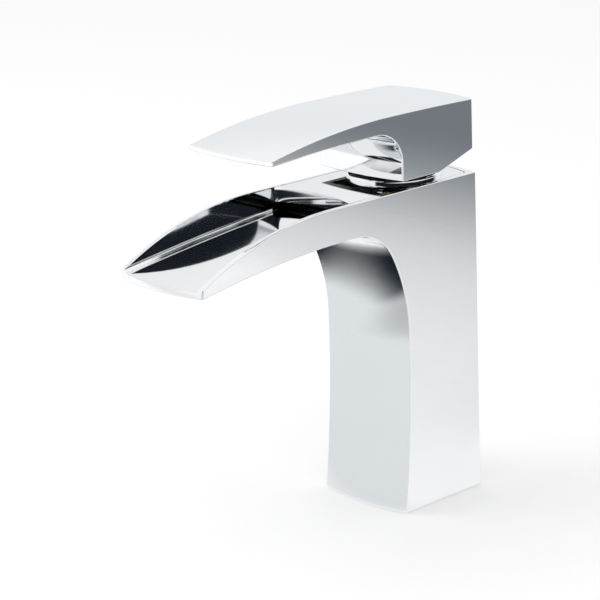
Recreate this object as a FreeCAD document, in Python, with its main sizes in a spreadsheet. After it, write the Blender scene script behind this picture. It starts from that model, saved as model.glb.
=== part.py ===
import FreeCAD, Part
import math
import os
import Sketcher

# Waterfall basin faucet: a cast column with an open-trough spout, an inset deck plate, a single lever
# handle and the ceramic cartridge that it works. Millimetres. The origin is the middle of the 35 mm deck
# hole on the basin's surface; +Z is up, the spout points along -Y and +X is to its right seen from the front.

doc = FreeCAD.newDocument("waterfall_basin_faucet")
sheet = doc.addObject("Spreadsheet::Sheet", "Dims")


class Size:
    """A size that knows its number and the spreadsheet expression behind it."""

    def __init__(self, value, text):
        self.value = float(value)
        self.text = text

    def __add__(self, other):
        return combine(self, "+", other)

    def __radd__(self, other):
        return combine(other, "+", self)

    def __sub__(self, other):
        return combine(self, "-", other)

    def __rsub__(self, other):
        return combine(other, "-", self)

    def __mul__(self, other):
        return combine(self, "*", other)

    def __rmul__(self, other):
        return combine(other, "*", self)

    def __truediv__(self, other):
        return combine(self, "/", other)

    def __neg__(self):
        return combine(0, "-", self)


def as_size(number):
    return number if isinstance(number, Size) else Size(number, repr(number))


def combine(left, sign, right):
    left, right = as_size(left), as_size(right)
    results = {"+": left.value + right.value, "-": left.value - right.value, "*": left.value * right.value}
    value = left.value / right.value if sign == "/" else results[sign]
    return Size(value, f"({left.text} {sign} {right.text})")


def dim(alias, value, meaning):
    """One driving dimension: a plain number in a cell of the sheet, with its alias and its meaning."""
    dim.row += 1
    sheet.set(f"A{dim.row}", meaning)
    sheet.set(f"B{dim.row}", str(value))
    sheet.setAlias(f"B{dim.row}", alias)
    return Size(value, f"Dims.{alias}")


dim.row = 0

# ---- Body casting ----
body_width = dim("body_width", 50.0, "column and spout, side to side")
front_bow = dim("front_bow", 3.4, "forward bulge of the front face and lip across the width")
back_bow = dim("back_bow", 3.2, "backward bulge of the rear face across the width")
base_front = dim("base_front", 23.5, "axis to the front corners at the basin")
base_back = dim("base_back", 23.4, "axis to the rear corners")
waist_front = dim("waist_front", 18.3, "axis to the front corners at the narrowest height")
waist_height = dim("waist_height", 80.0, "height of the narrowest part of the column")
deck_height = dim("deck_height", 142.0, "basin to the flat top")
top_flat_reach = dim("top_flat_reach", 60.0, "axis to where the top starts to curve down")
spout_reach = dim("spout_reach", 129.2, "axis to the top corners of the lip")
lip_drop = dim("lip_drop", 17.9, "deck to the lip's top corners")
lip_lean = dim("lip_lean", 0.7, "how far the lip's lower edge leads its upper edge")
lip_thick = dim("lip_thick", 3.8, "lip at its corners")
arch_reach = dim("arch_reach", 48.0, "axis to the highest point of the underside")
spout_depth = dim("spout_depth", 14.3, "deck to the highest point of the underside")
arch_radius = dim("arch_radius", 24.0, "tight bend from the underside into the column")
edge_break = dim("edge_break", 0.5, "chamfer of the lip's two long edges")

# ---- Trough, deck plate and water gallery ----
rim = dim("rim", 2.3, "thickness of the side walls seen as a rim")
floor_lip_drop = dim("floor_lip_drop", 1.4, "lip's top corners to the trough floor at the middle of the lip")
floor_back_drop = dim("floor_back_drop", 7.8, "deck to the gallery floor at its back")
floor_radius = dim("floor_radius", 1375.0, "gentle crown of the trough floor along the spout")
floor_fillet = dim("floor_fillet", 1.8, "rounding between floor and side walls")
plate_reach = dim("plate_reach", 48.6, "axis to the front corners of the deck plate")
plate_bow = dim("plate_bow", 4.6, "how far the plate's front edge curves back in the middle")
plate_thick = dim("plate_thick", 2.0, "deck plate")
plate_gap = dim("plate_gap", 0.25, "joint line round the deck plate")
plate_corner = dim("plate_corner", 3.0, "rear corners of the deck plate")
skirt_depth = dim("skirt_depth", 6.0, "deck to the top of the water slot")
skirt_thick = dim("skirt_thick", 2.0, "plate's front skirt")
gasket_thick = dim("gasket_thick", 0.6, "gasket under the deck plate")
ledge = dim("ledge", 2.2, "side ledge that carries the plate")
gallery_front = dim("gallery_front", 42.0, "axis to the front of the ledges")
gallery_back = dim("gallery_back", 23.0, "axis to the back of the water gallery")
sump_front = dim("sump_front", 31.0, "axis to the front of the sump")
sump_half = dim("sump_half", 12.0, "half width of the sump")
sump_depth = dim("sump_depth", 18.4, "deck to the sump's floor")
water_port_half = dim("water_port_half", 10.0, "half width of the passage from the chamber to the sump")
water_port_height = dim("water_port_height", 4.6, "height of the passage")

# ---- Column inside and deck connections ----
column_wall = dim("column_wall", 3.5, "side and rear wall of the column")
column_front_wall = dim("column_front_wall", 4.0, "front wall of the column at the waist corners")
chamber_floor = dim("chamber_floor", 7.5, "casting below the cartridge chamber")
mouth_height = dim("mouth_height", 10.0, "hollow below the threaded bosses")
riser_spread = dim("riser_spread", 8.5, "axis to each inlet riser, sideways")
riser_forward = dim("riser_forward", 5.0, "axis to the inlet risers, forward")
riser_wall = dim("riser_wall", 2.1, "wall of a riser round its thread")
riser_bore = dim("riser_bore", 3.4, "water passage radius of a riser")
inlet_thread = dim("inlet_thread", 4.5, "M10 x 1 hose thread, minor radius")
inlet_depth = dim("inlet_depth", 12.0, "length of the hose threads")
stud_back = dim("stud_back", 11.0, "axis to the fixing stud, backward")
stud_wall = dim("stud_wall", 2.6, "wall of the stud boss round its thread")
stud_thread = dim("stud_thread", 3.4, "M8 stud thread, minor radius")
stud_depth = dim("stud_depth", 16.0, "length of the stud thread")
seal_inset = dim("seal_inset", 1.0, "base outline to the base seal")
seal_width = dim("seal_width", 1.5, "base seal section, width")
seal_depth = dim("seal_depth", 1.2, "base seal section, depth")
seal_clear = dim("seal_clear", 0.05, "base seal to its groove")

# ---- Cartridge chamber and cartridge ----
chamber_depth = dim("chamber_depth", 36.5, "deck to the floor of the cartridge chamber")
chamber_gap = dim("chamber_gap", 1.5, "water gap round the cartridge housing")
thread_clear = dim("thread_clear", 0.04, "radial clearance of threads drawn plain")
run_clear = dim("run_clear", 0.05, "radial running clearance")
fit_clear = dim("fit_clear", 0.1, "radial clearance of fixed fits")
seal_stand = dim("seal_stand", 0.5, "how far the port seals stand below the cartridge")
seal_ring_height = dim("seal_ring_height", 1.5, "port seals, height")
base_step = dim("base_step", 0.1, "cartridge base inside the housing's outline")
base_height = dim("base_height", 4.5, "cartridge base below the housing")
spigot_height = dim("spigot_height", 1.5, "cartridge base inside the housing")
peg_radius = dim("peg_radius", 1.9, "locating pegs of the cartridge base")
peg_length = dim("peg_length", 3.0, "locating pegs of the cartridge base")
peg_spread = dim("peg_spread", 11.0, "axis to each peg, sideways")
peg_back = dim("peg_back", 9.0, "axis to the pegs, backward")
port_radius = dim("port_radius", 3.2, "inlet ports in the cartridge base")
port_overlap = dim("port_overlap", 0.25, "how far upper and lower inlet ports overlap")
port_seal_wider = dim("port_seal_wider", 0.1, "port seals round the riser passages, radial")
outlet_floor = dim("outlet_floor", 1.5, "cartridge base below its outlet")
outlet_window = dim("outlet_window", 4.0, "half width of the outlet's side window")
disc_port_spread = dim("disc_port_spread", 4.6, "axis to the inlet ports of the fixed disc, sideways")
disc_port_forward = dim("disc_port_forward", 6.0, "axis to the inlet ports of the fixed disc, forward")
disc_port_radius = dim("disc_port_radius", 2.0, "inlet ports of the fixed disc")
disc_outlet_back = dim("disc_outlet_back", 4.5, "axis to the outlet port of the fixed disc, backward")
disc_outlet_radius = dim("disc_outlet_radius", 4.2, "outlet port of the fixed disc")
disc_seal_wider = dim("disc_seal_wider", 0.2, "disc seal round the ports, radial")
disc_seal_step = dim("disc_seal_step", 3.0, "moulded disc seal inside the fixed disc's outline")
disc_seal_thick = dim("disc_seal_thick", 1.2, "moulded disc seal")
ring_wall = dim("ring_wall", 1.3, "port seals, wall")
disc_seal_stand = dim("disc_seal_stand", 0.3, "how far the disc seal stands above the base")
housing_radius = dim("housing_radius", 17.5, "cartridge housing")
housing_wall = dim("housing_wall", 1.7, "wall of the housing")
shoulder_clear = dim("shoulder_clear", 0.2, "shoulder to the chamber's wall")
shoulder_height = dim("shoulder_height", 3.6, "shoulder of the housing")
housing_height = dim("housing_height", 23.5, "housing from the base to the shoulder's upper face")
chamber_seal_height = dim("chamber_seal_height", 1.8, "chamber seal below the shoulder, height")
seal_slip = dim("seal_slip", 0.01, "chamber seal to its walls")
housing_roof = dim("housing_roof", 2.2, "wall above the housing's cavity")
neck_step = dim("neck_step", 3.1, "neck inside the housing's outline")
neck_height = dim("neck_height", 9.0, "neck above the shoulder")
disc_clear = dim("disc_clear", 0.4, "fixed disc to the housing's wall")
fixed_disc_thick = dim("fixed_disc_thick", 4.0, "fixed ceramic disc")
disc_travel_room = dim("disc_travel_room", 3.1, "moving disc inside the fixed disc's outline")
moving_disc_thick = dim("moving_disc_thick", 3.5, "moving ceramic disc")
moving_disc_back = dim("moving_disc_back", 2.45, "axis to the moving disc's centre when closed")
mixing_radius = dim("mixing_radius", 7.0, "mixing recess under the moving disc")
mixing_back = dim("mixing_back", 4.6, "axis to the mixing recess when closed")
mixing_depth = dim("mixing_depth", 2.0, "mixing recess under the moving disc")
key_width = dim("key_width", 4.0, "carrier's keys in the moving disc")
key_depth = dim("key_depth", 1.8, "carrier's keys in the moving disc")
key_start = dim("key_start", 8.0, "middle of the disc to the keys' inner ends")
key_end = dim("key_end", 11.8, "middle of the disc to the keys' outer ends")
carrier_height = dim("carrier_height", 6.8, "disc carrier")
carrier_floor = dim("carrier_floor", 1.8, "disc carrier below the lever's foot")
ball_radius = dim("ball_radius", 3.0, "barrel foot of the lever stem")
ball_clear = dim("ball_clear", 0.25, "radial clearance round the foot")
ball_floor_clear = dim("ball_floor_clear", 0.4, "clearance below the foot")
foot_arm = dim("foot_arm", 14.0, "pivot to the foot")
rotor_lift = dim("rotor_lift", 0.9, "disc carrier to the rotor")
flange_clear = dim("flange_clear", 0.5, "rotor's flange to the housing's wall")
neck_wall = dim("neck_wall", 2.35, "wall of the neck round the rotor")
rotor_rise = dim("rotor_rise", 0.6, "rotor above the neck")
rotor_slip = dim("rotor_slip", 0.2, "rotor's flange to the roof of the cavity")
stem_square = dim("stem_square", 8.0, "square of the lever stem")
stem_below = dim("stem_below", 4.0, "square below the pivot")
stem_shank = dim("stem_shank", 2.3, "round shank above the foot")
stem_rise = dim("stem_rise", 24.0, "stem above the pivot")
slot_side_clear = dim("slot_side_clear", 0.2, "stem to the rotor's slot, sideways")
slot_clear = dim("slot_clear", 0.6, "stem to the rotor's slot where it doesn't swing")
slot_swing_up = dim("slot_swing_up", 2.6, "extra slot behind the stem, above the pivot")
slot_swing_down = dim("slot_swing_down", 3.4, "extra slot before the shank, below the pivot")
pin_radius = dim("pin_radius", 1.5, "pivot pin")
pin_set = dim("pin_set", 0.6, "ends of the pivot pin below the rotor's surface")
pin_press = dim("pin_press", 0.01, "pivot pin in the rotor, radial")
limit_width = dim("limit_width", 1.7, "temperature limit ring, radial width")
limit_thick = dim("limit_thick", 1.2, "temperature limit ring")
limit_tab = dim("limit_tab", 4.0, "tab of the temperature limit ring, width")
stop_step = dim("stop_step", 1.1, "rotor's stop groove, radial depth")
stop_depth = dim("stop_depth", 0.7, "rotor's stop groove")
tab_clear = dim("tab_clear", 0.2, "tab to the stop groove's inner wall")

# ---- Nut and bonnet ----
collar_step = dim("collar_step", 1.8, "nut's collar inside its thread")
nut_thread_gap = dim("nut_thread_gap", 0.2, "top of the nut's thread below the gasket")
nut_rise = dim("nut_rise", 2.0, "nut above the deck")
nut_bore_clear = dim("nut_bore_clear", 0.3, "nut round the housing's neck")
notch_width = dim("notch_width", 5.0, "wrench notches of the nut")
notch_depth = dim("notch_depth", 1.6, "wrench notches of the nut")
plate_hole_clear = dim("plate_hole_clear", 0.6, "deck plate's hole round the nut")
bonnet_brim = dim("bonnet_brim", 3.3, "bonnet's foot outside the nut's collar")
bonnet_foot = dim("bonnet_foot", 0.5, "straight foot of the bonnet")
bonnet_draw = dim("bonnet_draw", 2.6, "bonnet's flank from foot to shoulder, radial")
bonnet_shoulder_rise = dim("bonnet_shoulder_rise", 3.2, "bonnet's flank above the deck")
bonnet_bulge = dim("bonnet_bulge", 0.6, "how far the bonnet's facets stand off a straight cone")
bonnet_rise = dim("bonnet_rise", 4.4, "bonnet above the deck")
bonnet_cover = dim("bonnet_cover", 3.8, "bonnet over the nut's collar, radial")
bonnet_roof = dim("bonnet_roof", 1.3, "bonnet above the nut")

# ---- Handle ----
handle_width = dim("handle_width", 50.0, "handle, side to side")
tip_reach = dim("tip_reach", 91.0, "axis to the top corners of the tip")
tip_drop = dim("tip_drop", 6.9, "crown to the tip's top corners")
tip_thick = dim("tip_thick", 2.3, "tip")
tip_bow = dim("tip_bow", 2.2, "forward bulge of the tip and hub front")
tail_reach = dim("tail_reach", 22.0, "axis to the rear corners")
tail_drop = dim("tail_drop", 0.7, "crown to the rear top corners")
tail_lift = dim("tail_lift", 6.5, "hub's lower face to the rear lower corners")
tail_bow = dim("tail_bow", 4.0, "backward bulge of the hub's rear")
crown_reach = dim("crown_reach", 26.0, "axis to the highest point of the handle's top")
crown_rise = dim("crown_rise", 28.6, "hub's lower face to the highest point of the handle's top")
hub_cover = dim("hub_cover", 1.8, "hub's front corners before the bonnet's shoulder")
hub_clear = dim("hub_clear", 0.6, "hub's lower face above the bonnet's shoulder")
hub_flat_back = dim("hub_flat_back", 2.0, "axis to the start of the rear chamfer")
hub_fillet = dim("hub_fillet", 14.0, "bend from the lever's underside into the hub")
lever_thick = dim("lever_thick", 7.0, "crown to where the hub's bend meets the lever's underside")
hub_wall = dim("hub_wall", 3.4, "hub's side and rear walls")
hub_front_wall = dim("hub_front_wall", 2.4, "hub's front wall at the corners")
hub_roof = dim("hub_roof", 4.4, "crown to the end of the hub's hollow")
boss_wall = dim("boss_wall", 4.6, "boss round the stem")
boss_lift = dim("boss_lift", 5.2, "hub's lower face to the boss")
socket_clear = dim("socket_clear", 0.05, "socket round the stem, each side")
socket_end_clear = dim("socket_end_clear", 0.5, "socket above the stem")
screw_drop = dim("screw_drop", 3.0, "end of the stem to the handle screw's axis")
screw_radius = dim("screw_radius", 2.5, "M5 handle screw")
screw_length = dim("screw_length", 9.0, "handle screw")
screw_socket = dim("screw_socket", 1.25, "inner radius of the screw's hexagon socket")
screw_socket_depth = dim("screw_socket_depth", 3.0, "depth of the screw's hexagon socket")
access_radius = dim("access_radius", 3.1, "hole for the key, closed by the plug")
plug_lip = dim("plug_lip", 1.1, "plug's head round its hole")
plug_head_thick = dim("plug_head_thick", 0.9, "plug's head")
plug_length = dim("plug_length", 5.5, "plug over all")
doc.recompute()

# ---- Sizes that follow from the others ----
lip_top = deck_height - lip_drop
lip_bottom = lip_top - lip_thick
arch_height = deck_height - spout_depth
floor_lip = lip_top - floor_lip_drop
floor_back = deck_height - floor_back_drop
sump_floor = deck_height - sump_depth
seat_height = deck_height - chamber_depth
recess_height = seat_height - chamber_floor
riser_outer = inlet_thread + riser_wall
stud_outer = stud_thread + stud_wall
chamber_radius = housing_radius + chamber_gap
base_radius = housing_radius - base_step
port_seal_inner = riser_bore + port_seal_wider
cavity_radius = housing_radius - housing_wall
shoulder_radius = chamber_radius - shoulder_clear
neck_radius = housing_radius - neck_step
fixed_disc_radius = cavity_radius - disc_clear
disc_seal_radius = fixed_disc_radius - disc_seal_step
moving_disc_radius = fixed_disc_radius - disc_travel_room
rotor_flange = cavity_radius - flange_clear
rotor_journal = neck_radius - neck_wall - run_clear
pin_half = rotor_journal - pin_set
limit_inner = neck_radius - limit_width
stop_radius = rotor_journal - stop_step
nut_collar = chamber_radius - collar_step
bonnet_radius = nut_collar + bonnet_brim
bonnet_shoulder_radius = bonnet_radius - bonnet_draw
bonnet_hole = nut_collar - bonnet_cover
base_bottom = seat_height + seal_stand
base_top = base_bottom + base_height
spigot_top = base_top + spigot_height
disc_bottom = spigot_top + disc_seal_stand
disc_joint = disc_bottom + fixed_disc_thick
carrier_bottom = disc_joint + moving_disc_thick
carrier_top = carrier_bottom + carrier_height
shoulder_top = base_top + housing_height
cavity_roof = shoulder_top - housing_roof
neck_top = shoulder_top + neck_height
flange_bottom = carrier_top + rotor_lift
ball_height = carrier_bottom + carrier_floor + ball_floor_clear + ball_radius
pivot_height = ball_height + foot_arm
stem_top = pivot_height + stem_rise
rotor_top = neck_top + rotor_rise
hub_bottom = deck_height + bonnet_shoulder_rise + hub_clear
hub_front = bonnet_shoulder_radius + hub_cover
crown_height = hub_bottom + crown_rise
tip_top = crown_height - tip_drop
tail_top = crown_height - tail_drop
tail_bottom = hub_bottom + tail_lift
tail_middle = tail_reach + tail_bow
hub_fillet_top = crown_height - lever_thick
hub_hollow_top = crown_height - hub_roof
boss_radius = stem_square / 2 + boss_wall
boss_bottom = hub_bottom + boss_lift
screw_height = stem_top - screw_drop
plug_head = access_radius + plug_lip

MARGIN = 2.0  # how far a cutting outline runs past the solid
BEND_TURN = math.radians(30)  # first guess of where the arch's tight bend ends
SWIVEL_STOP = math.radians(50.3)  # where the swivel meets its stop


# ---- Drawing and feature helpers ----
def bind(thing, prop, size):
    """Ties a property to the spreadsheet."""
    thing.setExpression(prop, as_size(size).text)


def new_body(label):
    body = doc.addObject("PartDesign::Body", label)
    body.Label = label
    return body


def sketch_on(body, role, name, offset=0.0):
    """A sketch on one of the body's own origin planes, moved along the plane's normal by offset."""
    sketch = body.newObject("Sketcher::SketchObject", name)
    plane = next(item for item in body.Origin.OriginFeatures if item.Role == role)
    sketch.AttachmentSupport = [(plane, "")]
    sketch.MapMode = "FlatFace"
    bind(sketch, "AttachmentOffset.Base.z", offset)
    return sketch


def at_point(x, y, z=0.0):
    return FreeCAD.Vector(as_size(x).value, as_size(y).value, as_size(z).value)


def fix(sketch, kind, refs, size):
    """A sketch constraint with a value, tied to the spreadsheet."""
    size = as_size(size)
    index = sketch.addConstraint(Sketcher.Constraint(kind, *refs, size.value))
    if size.text != repr(size.value):
        sketch.setExpression(f"Constraints[{index}]", size.text)


def fix_point(sketch, geo, pos, x, y):
    fix(sketch, "DistanceX", (-1, 1, geo, pos), x)
    fix(sketch, "DistanceY", (-1, 1, geo, pos), y)


def circle(sketch, x, y, radius):
    geo = sketch.addGeometry(Part.Circle(at_point(x, y), FreeCAD.Vector(0, 0, 1), as_size(radius).value))
    fix_point(sketch, geo, 3, x, y)
    fix(sketch, "Radius", (geo,), radius)


class Outline:
    """A closed outline in a sketch, drawn corner by corner with lines and arcs."""

    def __init__(self, sketch, x, y):
        self.sketch = sketch
        self.corners = [(x, y, True)]
        self.edges = []

    def line_to(self, x, y):
        self.corners.append((x, y, True))
        self.edges.append({})
        return self

    def arc_to(self, x, y, placed=True, **rule):
        """rule: left=True/False with radius=, or centre_x= or centre_y=, and tangent=True to the edge before.
        placed=False means that the end is only a first guess, which the rules settle."""
        self.corners.append((x, y, placed))
        self.edges.append(rule)
        return self

    def close(self):
        if not same_place(self.corners[0], self.corners[-1]):
            self.line_to(*self.corners[0][:2])
        self.corners.pop()
        count = len(self.edges)
        ends = []
        for number, rule in enumerate(self.edges):
            start = at_point(*self.corners[number][:2])
            end = at_point(*self.corners[(number + 1) % count][:2])
            shape = arc_shape(start, end, rule) if rule else Part.LineSegment(start, end)
            geo = self.sketch.addGeometry(shape)
            gaps = [self.sketch.getPoint(geo, which).distanceToPoint(start) for which in (1, 2)]
            first = 1 if gaps[0] <= gaps[1] else 2
            ends.append((geo, first, 3 - first))
        for number in range(count):
            before, after = ends[number - 1], ends[number]
            joint = "Tangent" if self.edges[number].get("tangent") else "Coincident"
            self.sketch.addConstraint(Sketcher.Constraint(joint, before[0], before[2], after[0], after[1]))
            x, y, placed = self.corners[number]
            if placed:
                fix_point(self.sketch, after[0], after[1], x, y)
        for (geo, _, _), rule in zip(ends, self.edges):
            if "radius" in rule:
                fix(self.sketch, "Radius", (geo,), rule["radius"])
            if "centre_x" in rule:
                fix(self.sketch, "DistanceX", (-1, 1, geo, 3), rule["centre_x"])
            if "centre_y" in rule:
                fix(self.sketch, "DistanceY", (-1, 1, geo, 3), rule["centre_y"])
        return self.sketch


def same_place(one, other):
    return at_point(*one[:2]).distanceToPoint(at_point(*other[:2])) < 1e-7


def arc_centre(start, end, rule):
    """The centre that the rule gives an arc from start to end, for the sketch's first drawing."""
    middle = (start + end) * 0.5
    half = (end - start) * 0.5
    across = FreeCAD.Vector(-half.y, half.x, 0)
    if "centre_x" in rule:
        return middle + across * ((as_size(rule["centre_x"]).value - middle.x) / across.x)
    if "centre_y" in rule:
        return middle + across * ((as_size(rule["centre_y"]).value - middle.y) / across.y)
    reach = math.sqrt(max(as_size(rule["radius"]).value ** 2 - half.Length ** 2, 0.0))
    side = 1 if rule["left"] else -1
    return middle + across.normalize() * (side * reach)


def arc_shape(start, end, rule):
    centre = arc_centre(start, end, rule)
    outward = (start + end) * 0.5 - centre
    if outward.Length < 1e-6:
        outward = FreeCAD.Vector(end.y - start.y, start.x - end.x, 0)
        outward = outward * (1 if rule["left"] else -1)
    crest = centre + outward.normalize() * (start - centre).Length
    return Part.Arc(start, crest, end)


def bow_radius(half_width, bow):
    """Radius of an arc that rises by bow across a full width of twice half_width."""
    return (half_width * half_width + bow * bow) / (2 * bow)


def rectangle(sketch, left, front, right, back):
    return Outline(sketch, left, front).line_to(right, front).line_to(right, back).line_to(left, back).close()


def rounded_rectangle(sketch, left, front, right, back, corner):
    outline = Outline(sketch, left + corner, front).line_to(right - corner, front)
    outline.arc_to(right, front + corner, radius=corner, left=True)
    outline.line_to(right, back - corner).arc_to(right - corner, back, radius=corner, left=True)
    outline.line_to(left + corner, back).arc_to(left, back - corner, radius=corner, left=True)
    outline.line_to(left, front + corner).arc_to(left + corner, front, radius=corner, left=True)
    return outline.close()


def pad(body, sketch, length, both=False):
    feature = body.newObject("PartDesign::Pad", sketch.Name + "_pad")
    feature.Profile = sketch
    feature.Midplane = both
    bind(feature, "Length", length)
    sketch.Visibility = False
    doc.recompute()
    return feature


def pocket(body, sketch, length, both=False, forward=False):
    """A cut against the sketch's normal, or along it with forward, or to both sides."""
    before = body.Shape.Volume
    feature = body.newObject("PartDesign::Pocket", sketch.Name + "_cut")
    feature.Profile = sketch
    feature.Midplane = both
    feature.Reversed = forward
    bind(feature, "Length", length)
    doc.recompute()
    if feature.Shape.isNull() or not feature.Shape.Volume < before - 1e-6:
        raise RuntimeError(f"{feature.Name} cuts nothing")
    return feature


def turned(body, sketch, axis="V_Axis"):
    """A full revolution of a half profile about the sketch's upright axis, or its H_Axis."""
    feature = body.newObject("PartDesign::Revolution", sketch.Name + "_turn")
    feature.Profile = sketch
    feature.ReferenceAxis = (sketch, [axis])
    feature.Angle = 360
    doc.recompute()
    return feature


def swept(body, profile, path, edges):
    """The profile carried along a bowed path without turning, so that every section stays upright."""
    feature = body.newObject("PartDesign::AdditivePipe", profile.Name + "_sweep")
    feature.Profile = profile
    feature.Spine = (path, edges)
    feature.Mode = "Fixed"
    doc.recompute()
    return feature


def edges_where(feature, wanted):
    """Names of the edges whose midpoint, as x, y, z and the edge itself, meets the test."""
    names = []
    for number, edge in enumerate(feature.Shape.Edges, 1):
        middle = edge.valueAt((edge.FirstParameter + edge.LastParameter) / 2)
        if wanted(middle, edge):
            names.append(f"Edge{number}")
    if not names:
        raise RuntimeError(f"no edge of {feature.Name} meets the test")
    return names


def rounded(body, wanted, radius, kind="PartDesign::Fillet"):
    base = body.Tip
    feature = body.newObject(kind, f"{body.Name}_round{len(body.Group)}")
    feature.Base = (base, edges_where(base, wanted))
    bind(feature, "Radius" if kind.endswith("Fillet") else "Size", radius)
    doc.recompute()
    return feature


def near(one, other, slack=0.05):
    return abs(one - as_size(other).value) < slack


# ---- Faucet body ----
half_width = body_width / 2
inner_half = half_width - rim
land_height = deck_height - plate_thick - gasket_thick


def bowed_path(body, name, corner_y, half, bow):
    """The open arc in plan that a side profile is carried along, bulging towards the front."""
    sketch = sketch_on(body, "XY_Plane", name)
    left, right, crest = at_point(-half, corner_y), at_point(half, corner_y), at_point(0, corner_y - bow)
    geo = sketch.addGeometry(Part.Arc(left, crest, right))
    fix_point(sketch, geo, 1, -half, corner_y)
    fix_point(sketch, geo, 2, half, corner_y)
    fix(sketch, "Radius", (geo,), bow_radius(half, bow))
    return sketch


def back_trim(body, name, corner_y, half, bow, depth, offset):
    """Cuts the rear to a face that bulges backward across the width."""
    sketch = sketch_on(body, "XY_Plane", name, offset)
    far = corner_y + bow + front_bow + 3 * MARGIN
    wide = half + MARGIN
    outline = Outline(sketch, -wide, corner_y).line_to(-half, corner_y)
    outline.arc_to(half, corner_y, radius=bow_radius(half, bow), left=False)
    outline.line_to(wide, corner_y).line_to(wide, far).line_to(-wide, far).close()
    return pocket(body, sketch, depth, forward=True)


def body_side_profile(body):
    """Side outline of column, arch and spout, at the left side plane."""
    sketch = sketch_on(body, "YZ_Plane", "body_profile", -half_width)
    rear = base_back + back_bow + front_bow + MARGIN
    outline = Outline(sketch, rear, 0).line_to(rear, deck_height).line_to(-top_flat_reach, deck_height)
    outline.arc_to(-spout_reach, lip_top, centre_x=-top_flat_reach, left=True)
    outline.line_to(-(spout_reach + lip_lean), lip_bottom)
    outline.arc_to(-arch_reach, arch_height, centre_x=-arch_reach, left=False)
    bend_y = arch_reach - arch_radius * math.cos(BEND_TURN)
    bend_z = arch_height - arch_radius * math.sin(BEND_TURN)
    outline.arc_to(-bend_y, bend_z, placed=False, radius=arch_radius, left=False, tangent=True)
    outline.arc_to(-waist_front, waist_height, centre_y=waist_height, left=False, tangent=True)
    outline.arc_to(-base_front, 0, centre_y=waist_height, left=True)
    return outline.close()


def make_faucet_body():
    body = new_body("faucet_body")
    profile = body_side_profile(body)
    path = bowed_path(body, "body_bow", -base_front, half_width, front_bow)
    swept(body, profile, path, ["Edge1"])
    back_trim(body, "body_rear", base_back, half_width, back_bow, deck_height + MARGIN, -MARGIN / 2)
    rounded(body, lambda p, e: p.y < -spout_reach.value and abs(p.x) < 1, edge_break, "PartDesign::Chamfer")
    cut_trough(body)
    cut_deck(body)
    cut_column(body)
    return body


def cut_trough(body):
    """Open trough from the lip to the water gallery, with a gently crowned floor."""
    lip = spout_reach + front_bow
    sketch = sketch_on(body, "YZ_Plane", "trough_profile")
    outline = Outline(sketch, -(lip + MARGIN), floor_lip).line_to(-lip, floor_lip)
    outline.arc_to(-gallery_back, floor_back, radius=floor_radius, left=False)
    above = deck_height + MARGIN
    outline.line_to(-gallery_back, above).line_to(-(lip + MARGIN), above).close()
    pocket(body, sketch, 2 * inner_half, both=True)
    half_trough = (spout_reach.value - gallery_back.value) / 2

    def floor_corner(middle, edge):
        return near(abs(middle.x), inner_half) and edge.Length > half_trough and middle.z < floor_back.value

    rounded(body, floor_corner, floor_fillet)


def plate_outline(sketch, gap):
    """Plan of the deck plate or its recess: curved front, rounded rear corners, bowed rear edge."""
    wide = inner_half - gap
    rear = base_back - rim - gap
    outline = Outline(sketch, -wide, -plate_reach)
    outline.arc_to(wide, -plate_reach, radius=bow_radius(wide, plate_bow), left=False)
    outline.line_to(wide, rear - plate_corner)
    outline.arc_to(wide - plate_corner, rear, radius=plate_corner, left=True)
    outline.arc_to(-(wide - plate_corner), rear, radius=bow_radius(wide - plate_corner, back_bow), left=True)
    outline.arc_to(-wide, rear - plate_corner, radius=plate_corner, left=True)
    return outline.close()


def cut_deck(body):
    """Ledges, plate recess, sump, cartridge chamber and its ports."""
    sketch = sketch_on(body, "XY_Plane", "ledges", land_height - 2 * ledge - skirt_depth)
    for side in (-1, 1):
        outer, inner = side * (half_width - rim / 2), side * (inner_half - ledge)
        rectangle(sketch, outer, -gallery_front, inner, rim - gallery_back)
    pad(body, sketch, 2 * ledge + skirt_depth)
    sketch = sketch_on(body, "XY_Plane", "plate_recess", deck_height)
    plate_outline(sketch, 0.0)
    pocket(body, sketch, deck_height - land_height)
    sketch = sketch_on(body, "XY_Plane", "sump", land_height)
    rectangle(sketch, -sump_half, -sump_front, sump_half, -gallery_back)
    pocket(body, sketch, land_height - sump_floor)
    sketch = sketch_on(body, "XY_Plane", "chamber", land_height)
    circle(sketch, 0, 0, chamber_radius)
    pocket(body, sketch, land_height - seat_height)
    port_start = (sump_front + gallery_back) / 2
    sketch = sketch_on(body, "XZ_Plane", "water_passage", port_start)
    rectangle(sketch, -water_port_half, sump_floor, water_port_half, sump_floor + water_port_height)
    pocket(body, sketch, port_start - chamber_radius / 2)


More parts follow.
